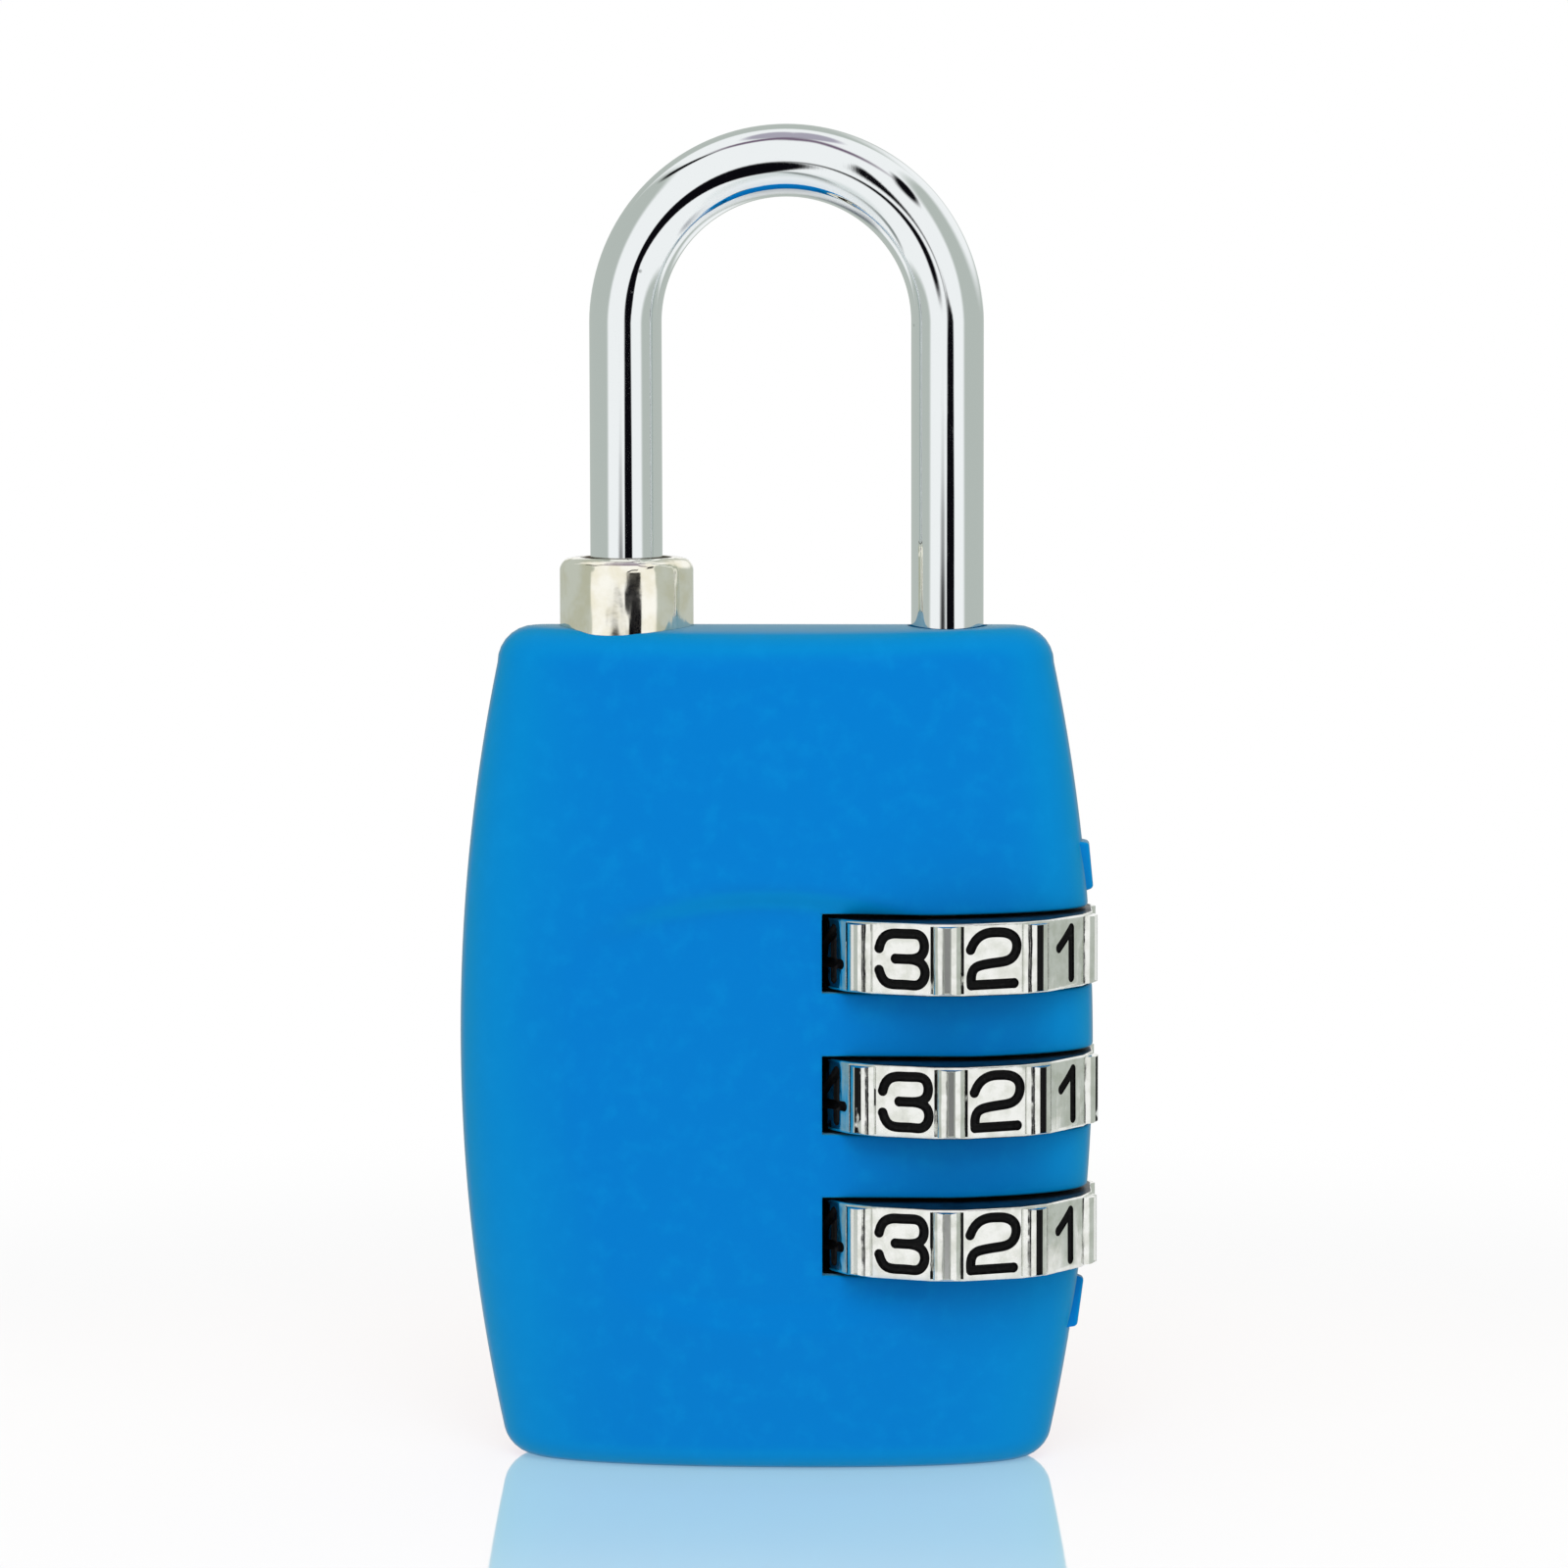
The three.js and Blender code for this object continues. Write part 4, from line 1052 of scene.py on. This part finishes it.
def boreTool():
    # the dial's bore, with a notch behind each facet
    bore = rod(dial["boreRadius"], -dial["height"], dial["height"], sides=dial["boreSides"])
    reach = dial["notchReach"]
    for i in range(dial["facets"] // 2):
        slot = block((2 * reach, dial["notchWidth"], 2 * dial["height"]), (0, 0, 0))
        slot.data.transform(Matrix.Rotation(2 * math.pi * i / dial["facets"], 4, "Z"))
        combine(bore, [slot], "UNION")
    return bore


def modelDial():
    half = dial["height"] / 2
    corner = math.pi / dial["facets"]
    cornerRadius = dial["facetRadius"] / math.cos(corner)
    wheel = rod(cornerRadius, -half, half, sides=dial["facets"], name="wheel")
    # the first finish, on the dials' flat sides, is dark painted shade
    finishNames = ["dialFace", "groovePaint", "ribPaint", "dialChrome"]
    for finish in finishNames:
        wheel.data.materials.append(finishes[finish])

    def paint(finish):
        wheel.active_material_index = finishNames.index(finish)
        bpy.ops.object.material_slot_assign()

    startEdit(wheel)
    choose(wheel, "EDGE", lambda e: abs(middleOf(e).z) < slack)
    bpy.ops.mesh.bevel(offset=dial["cornerCut"], segments=1)
    choose(wheel, "EDGE", lambda e: abs(abs(middleOf(e).z) - half) < slack)
    bpy.ops.mesh.bevel(offset=dial["rimRounding"], segments=dial["rimSegments"])
    choose(wheel, "FACE", lambda f: abs(f.normal.z) < 0.9)
    paint("dialChrome")
    radius = cornerRadius - dial["cornerCut"] * math.sin(corner)
    tall = half - dial["rimRounding"]
    ribWidth = 2 * dial["cornerCut"] * math.cos(corner)
    largest = 1.05 * 2 * tall * ribWidth  # so that the facets, which are wider, are left out
    choose(wheel, "FACE", lambda f: abs(f.normal.z) < 0.01 and f.calc_area() < largest)
    for inset, nextRadius, nextTall, finish in dial["ribSteps"]:
        paint(finish)
        bpy.ops.mesh.inset(thickness=inset, use_individual=True)
        out = nextRadius / radius
        bpy.ops.transform.resize(value=(out, out, nextTall / (tall - inset)),
                                 center_override=(0, 0, 0))
        radius, tall = nextRadius, nextTall
    endEdit()
    combine(wheel, [boreTool()])
    combine(wheel, [engraving()], use_self=True, material_mode="TRANSFER")
    return wheel


firstDial = modelDial()
for node, middle, turn in zip(dialNodes, dialMiddles, dial["restTurns"]):
    wheel = copied(firstDial, node + "Wheel")
    place = Matrix.Translation((dialAxisX, 0, middle.z))
    wheel.data.transform(place @ Matrix.Rotation(math.radians(turn), 4, "Z"))
    finishPiece(wheel, node.replace("_", "") + "Wheel", node, [node], [])
bpy.data.objects.remove(firstDial)
print("dials modelled")


# Stage and light

# sizes and places are in metres, from the middle of the padlock's underside
stage = {
    "floorSize": 2.4,
    "paperDim": 0.04,  # how much black is in the floor's white
    "shadowShare": 0.5,
    "shadowReach": (0.11, 0.03),  # from none to full
    "glow": 0.6,  # of the pale floor on the padlock's underside
    "floorSeen": (0.035, 0.075),  # from where the chrome mirrors the floor to where it doesn't
    # share of red, green and blue light that the glossy floor mirrors
    "mirrored": (0.6, 0.42, 0.35, 1),
    "mirrorRoughness": 0.05,
    "fadeStart": -0.013,  # the mirror fades towards the front
    "fadeEnd": -0.08,
    "mirrorReach": (0.035, 0.08),  # and all round
}
lampAim = (0, 0, 0.03)
lamps = [
    # (place, size, watts)
    ((-0.32, -0.44, 0.2), 0.34, 0.4),
    ((0.36, -0.38, 0.2), 0.30, 0.31),
    ((0.03, -0.36, 0.36), 0.30, 0.84),
]
studio = {
    # plain light from below and from above, for everything that isn't a mirror
    "plain": (0.38, 0.74),
    "white": rgb(255, 255, 255),
    "grey": rgb(190, 196, 190),
    "dark": rgb(12, 11, 16),
    "violet": rgb(122, 104, 124),
    "mauve": rgb(178, 172, 186),
    "low": rgb(186, 198, 196),
    "navy": rgb(44, 56, 80),
    "dull": rgb(138, 144, 142),
    # where white turns to grey, as parts of a direction: at the sides, more so higher up, and
    # behind
    "greySides": (0.76, 0.87),
    "greyLift": 0.25,
    "greyBehind": (0.38, 0.5),
    # the white wall behind the padlock: its foot and its top, and how far it runs to the sides
    "wallFoot": (0, 0.03),
    "wallTop": (0.25, 0.3),
    "wallWidth": (0.93, 0.96),
}
# soft blots that the chrome mirrors. Each has its middle in degrees to the right of the front and
# degrees up, half its width and half its height, its slope, its softness, and its colour
studioBlots = [
    (137, 28, 30, 20, 0, 0.4, "white"),
    (155, -28, 18, 12, 15, 0.4, "white"),
    (-20, -80, 80, 38, 0, 0.3, "low"),
    (-55, -42, 30, 3.5, -20, 0.5, "dull"),
    (-16, -45, 16, 3.5, 22, 0.5, "dull"),
    (72, -50, 14, 7, 0, 0.6, "navy"),
    (-128, -52, 32, 12, -20, 0.6, "navy"),
    (0, 90, 200, 17, 0, 0.15, "mauve"),
    (-30, 68, 32, 4.5, 10, 0.5, "violet"),
    (3, 69, 24, 5, -5, 0.7, "violet"),
    (27, 59, 18, 6, -42, 0.7, "violet"),
    (-76, 53.5, 25, 3.5, 15, 0.4, "dark"),
    (46, 40, 17, 5, 34, 0.35, "dark"),
    (6.5, 14, 2.3, 15, -23, 0.4, "dark"),
    (11, -3.5, 12, 4.5, 0, 0.15, "dark"),
    (-13.5, -6.5, 11, 4, 0, 0.35, "dark"),
    (5, -19, 11, 20, -8, 0.12, "dark"),
]


def makeFloor():
    bpy.ops.mesh.primitive_plane_add(size=stage["floorSize"])
    floor = bpy.context.object
    floor.name = "floor"
    material = bpy.data.materials.new("floorWhite")
    material.use_nodes = True
    tree = Tree(material.node_tree)
    place = tree.add("TexCoord", output=3)
    frontness = tree.add("SeparateXYZ", {}, {0: place}, output=1)
    distance = tree.add("VectorMath", {"operation": "LENGTH"}, {0: place}, output=1)
    shine = frontness.between(stage["fadeEnd"], stage["fadeStart"])
    shine *= 1 - distance.between(*stage["mirrorReach"])
    shadow = distance.between(*stage["shadowReach"]) * stage["shadowShare"]
    seen = tree.add("LightPath", output="Is Camera Ray")
    mirrored = tree.mix(seen * shine, (0, 0, 0, 1), stage["mirrored"])
    unmirrored = tuple(1 - share for share in stage["mirrored"][:3]) + (1,)
    rest = tree.mix(seen * shine, (1, 1, 1, 1), unmirrored)
    white = tree.add("Emission", {}, {"Color": rest, "Strength": 1.0})
    dimmed = tree.mix(stage["paperDim"], rest, (0, 0, 0, 1))
    paper = tree.add("BsdfDiffuse", {}, {"Color": dimmed})
    gloss = tree.add("BsdfGlossy", {}, {"Color": mirrored, "Roughness": stage["mirrorRoughness"]})
    glow = tree.add("LightPath", output="Is Diffuse Ray") * stage["glow"]
    lit = tree.add("MixShader", {}, {0: seen * (1 - shadow) + glow, 1: paper, 2: white})
    surface = tree.add("AddShader", {}, {0: lit, 1: gloss})
    # past this reach the chrome mirrors the studio instead of the floor
    beyond = tree.add("LightPath", output="Is Glossy Ray") * distance.between(*stage["floorSeen"])
    surface = tree.add("MixShader", {}, {0: beyond, 1: surface, 2: tree.add("BsdfTransparent")})
    tree.add("OutputMaterial", {}, {"Surface": surface})
    floor.data.materials.append(material)


def makeWorld():
    # what mirrors see is drawn by direction, the way the photograph's chrome shows it
    world = bpy.data.worlds.new("studio")
    world.use_nodes = True
    bpy.context.scene.world = world
    tree = Tree(world.node_tree)
    direction = tree.add("TexCoord", output=0)
    x, y, z = tree.parts(direction)
    side = x.math("ARCTAN2", -y) * (180 / math.pi)
    height = z.math("ARCSINE") * (180 / math.pi)

    sides = (x.math("ABSOLUTE") + z * studio["greyLift"]).between(*studio["greySides"])
    grey = sides.math("MAXIMUM", y.between(*studio["greyBehind"]))
    # the floor mirrors the white wall
    wall = z.between(*studio["wallFoot"]) * (1 - z.between(*studio["wallTop"]))
    wall *= y.between(*studio["wallWidth"])
    color = tree.mix(grey * (1 - wall), studio["white"], studio["grey"])
    for blotSide, blotHeight, halfWidth, halfHeight, slope, softness, shade in studioBlots:
        right, up = side - blotSide, height - blotHeight
        lean = math.radians(slope)
        along = (right * math.cos(lean) + up * math.sin(lean)) / halfWidth
        over = (up * math.cos(lean) - right * math.sin(lean)) / halfHeight
        distance = (along * along + over * over).math("SQRT")
        color = tree.mix(1 - distance.between(1 - softness, 1 + softness), color, studio[shade])
    below, above = ([level] * 3 + [1] for level in studio["plain"])
    plain = tree.mix(z * 0.5 + 0.5, below, above)
    color = tree.mix(tree.add("LightPath", output="Is Diffuse Ray"), color, plain)
    color = tree.mix(tree.add("LightPath", output="Is Camera Ray"), color, (1, 1, 1, 1))
    shade = tree.add("Background", {}, {"Color": color, "Strength": 1.0})
    tree.add("OutputWorld", {}, {"Surface": shade})


def makeLamps():
    for place, size, watts in lamps:
        bpy.ops.object.light_add(type="AREA", location=place)
        lamp = bpy.context.object
        lamp.data.shape = "DISK"
        lamp.data.size = size
        lamp.data.energy = watts
        lamp.visible_glossy = False
        look = Vector(lampAim) - Vector(place)
        lamp.rotation_euler = look.to_track_quat("-Z", "Y").to_euler()


makeFloor()
makeWorld()
makeLamps()
bpy.context.scene.view_settings.view_transform = "Standard"
print("stage set")

# the inner pieces stay the CAD's solids, with finishes of their own
nodeFinishes = {
    "castZinc": ["core_frame"],
    "turnedBrass": ["tumbler_top", "tumbler_middle", "tumbler_bottom", "spring_seat"],
    "drawnSteel": ["detent_leaf", "reset_spring", "stop_ring"],
    "zincPlate": ["leaf_pin_upper", "leaf_pin_lower", "closing_plate", "plate_screw_front",
                  "plate_screw_back"],
}
for finish, nodes in nodeFinishes.items():
    for node in nodes:
        mesh = frame["nodes"][node].data
        mesh.materials.clear()
        mesh.materials.append(finishes[finish])
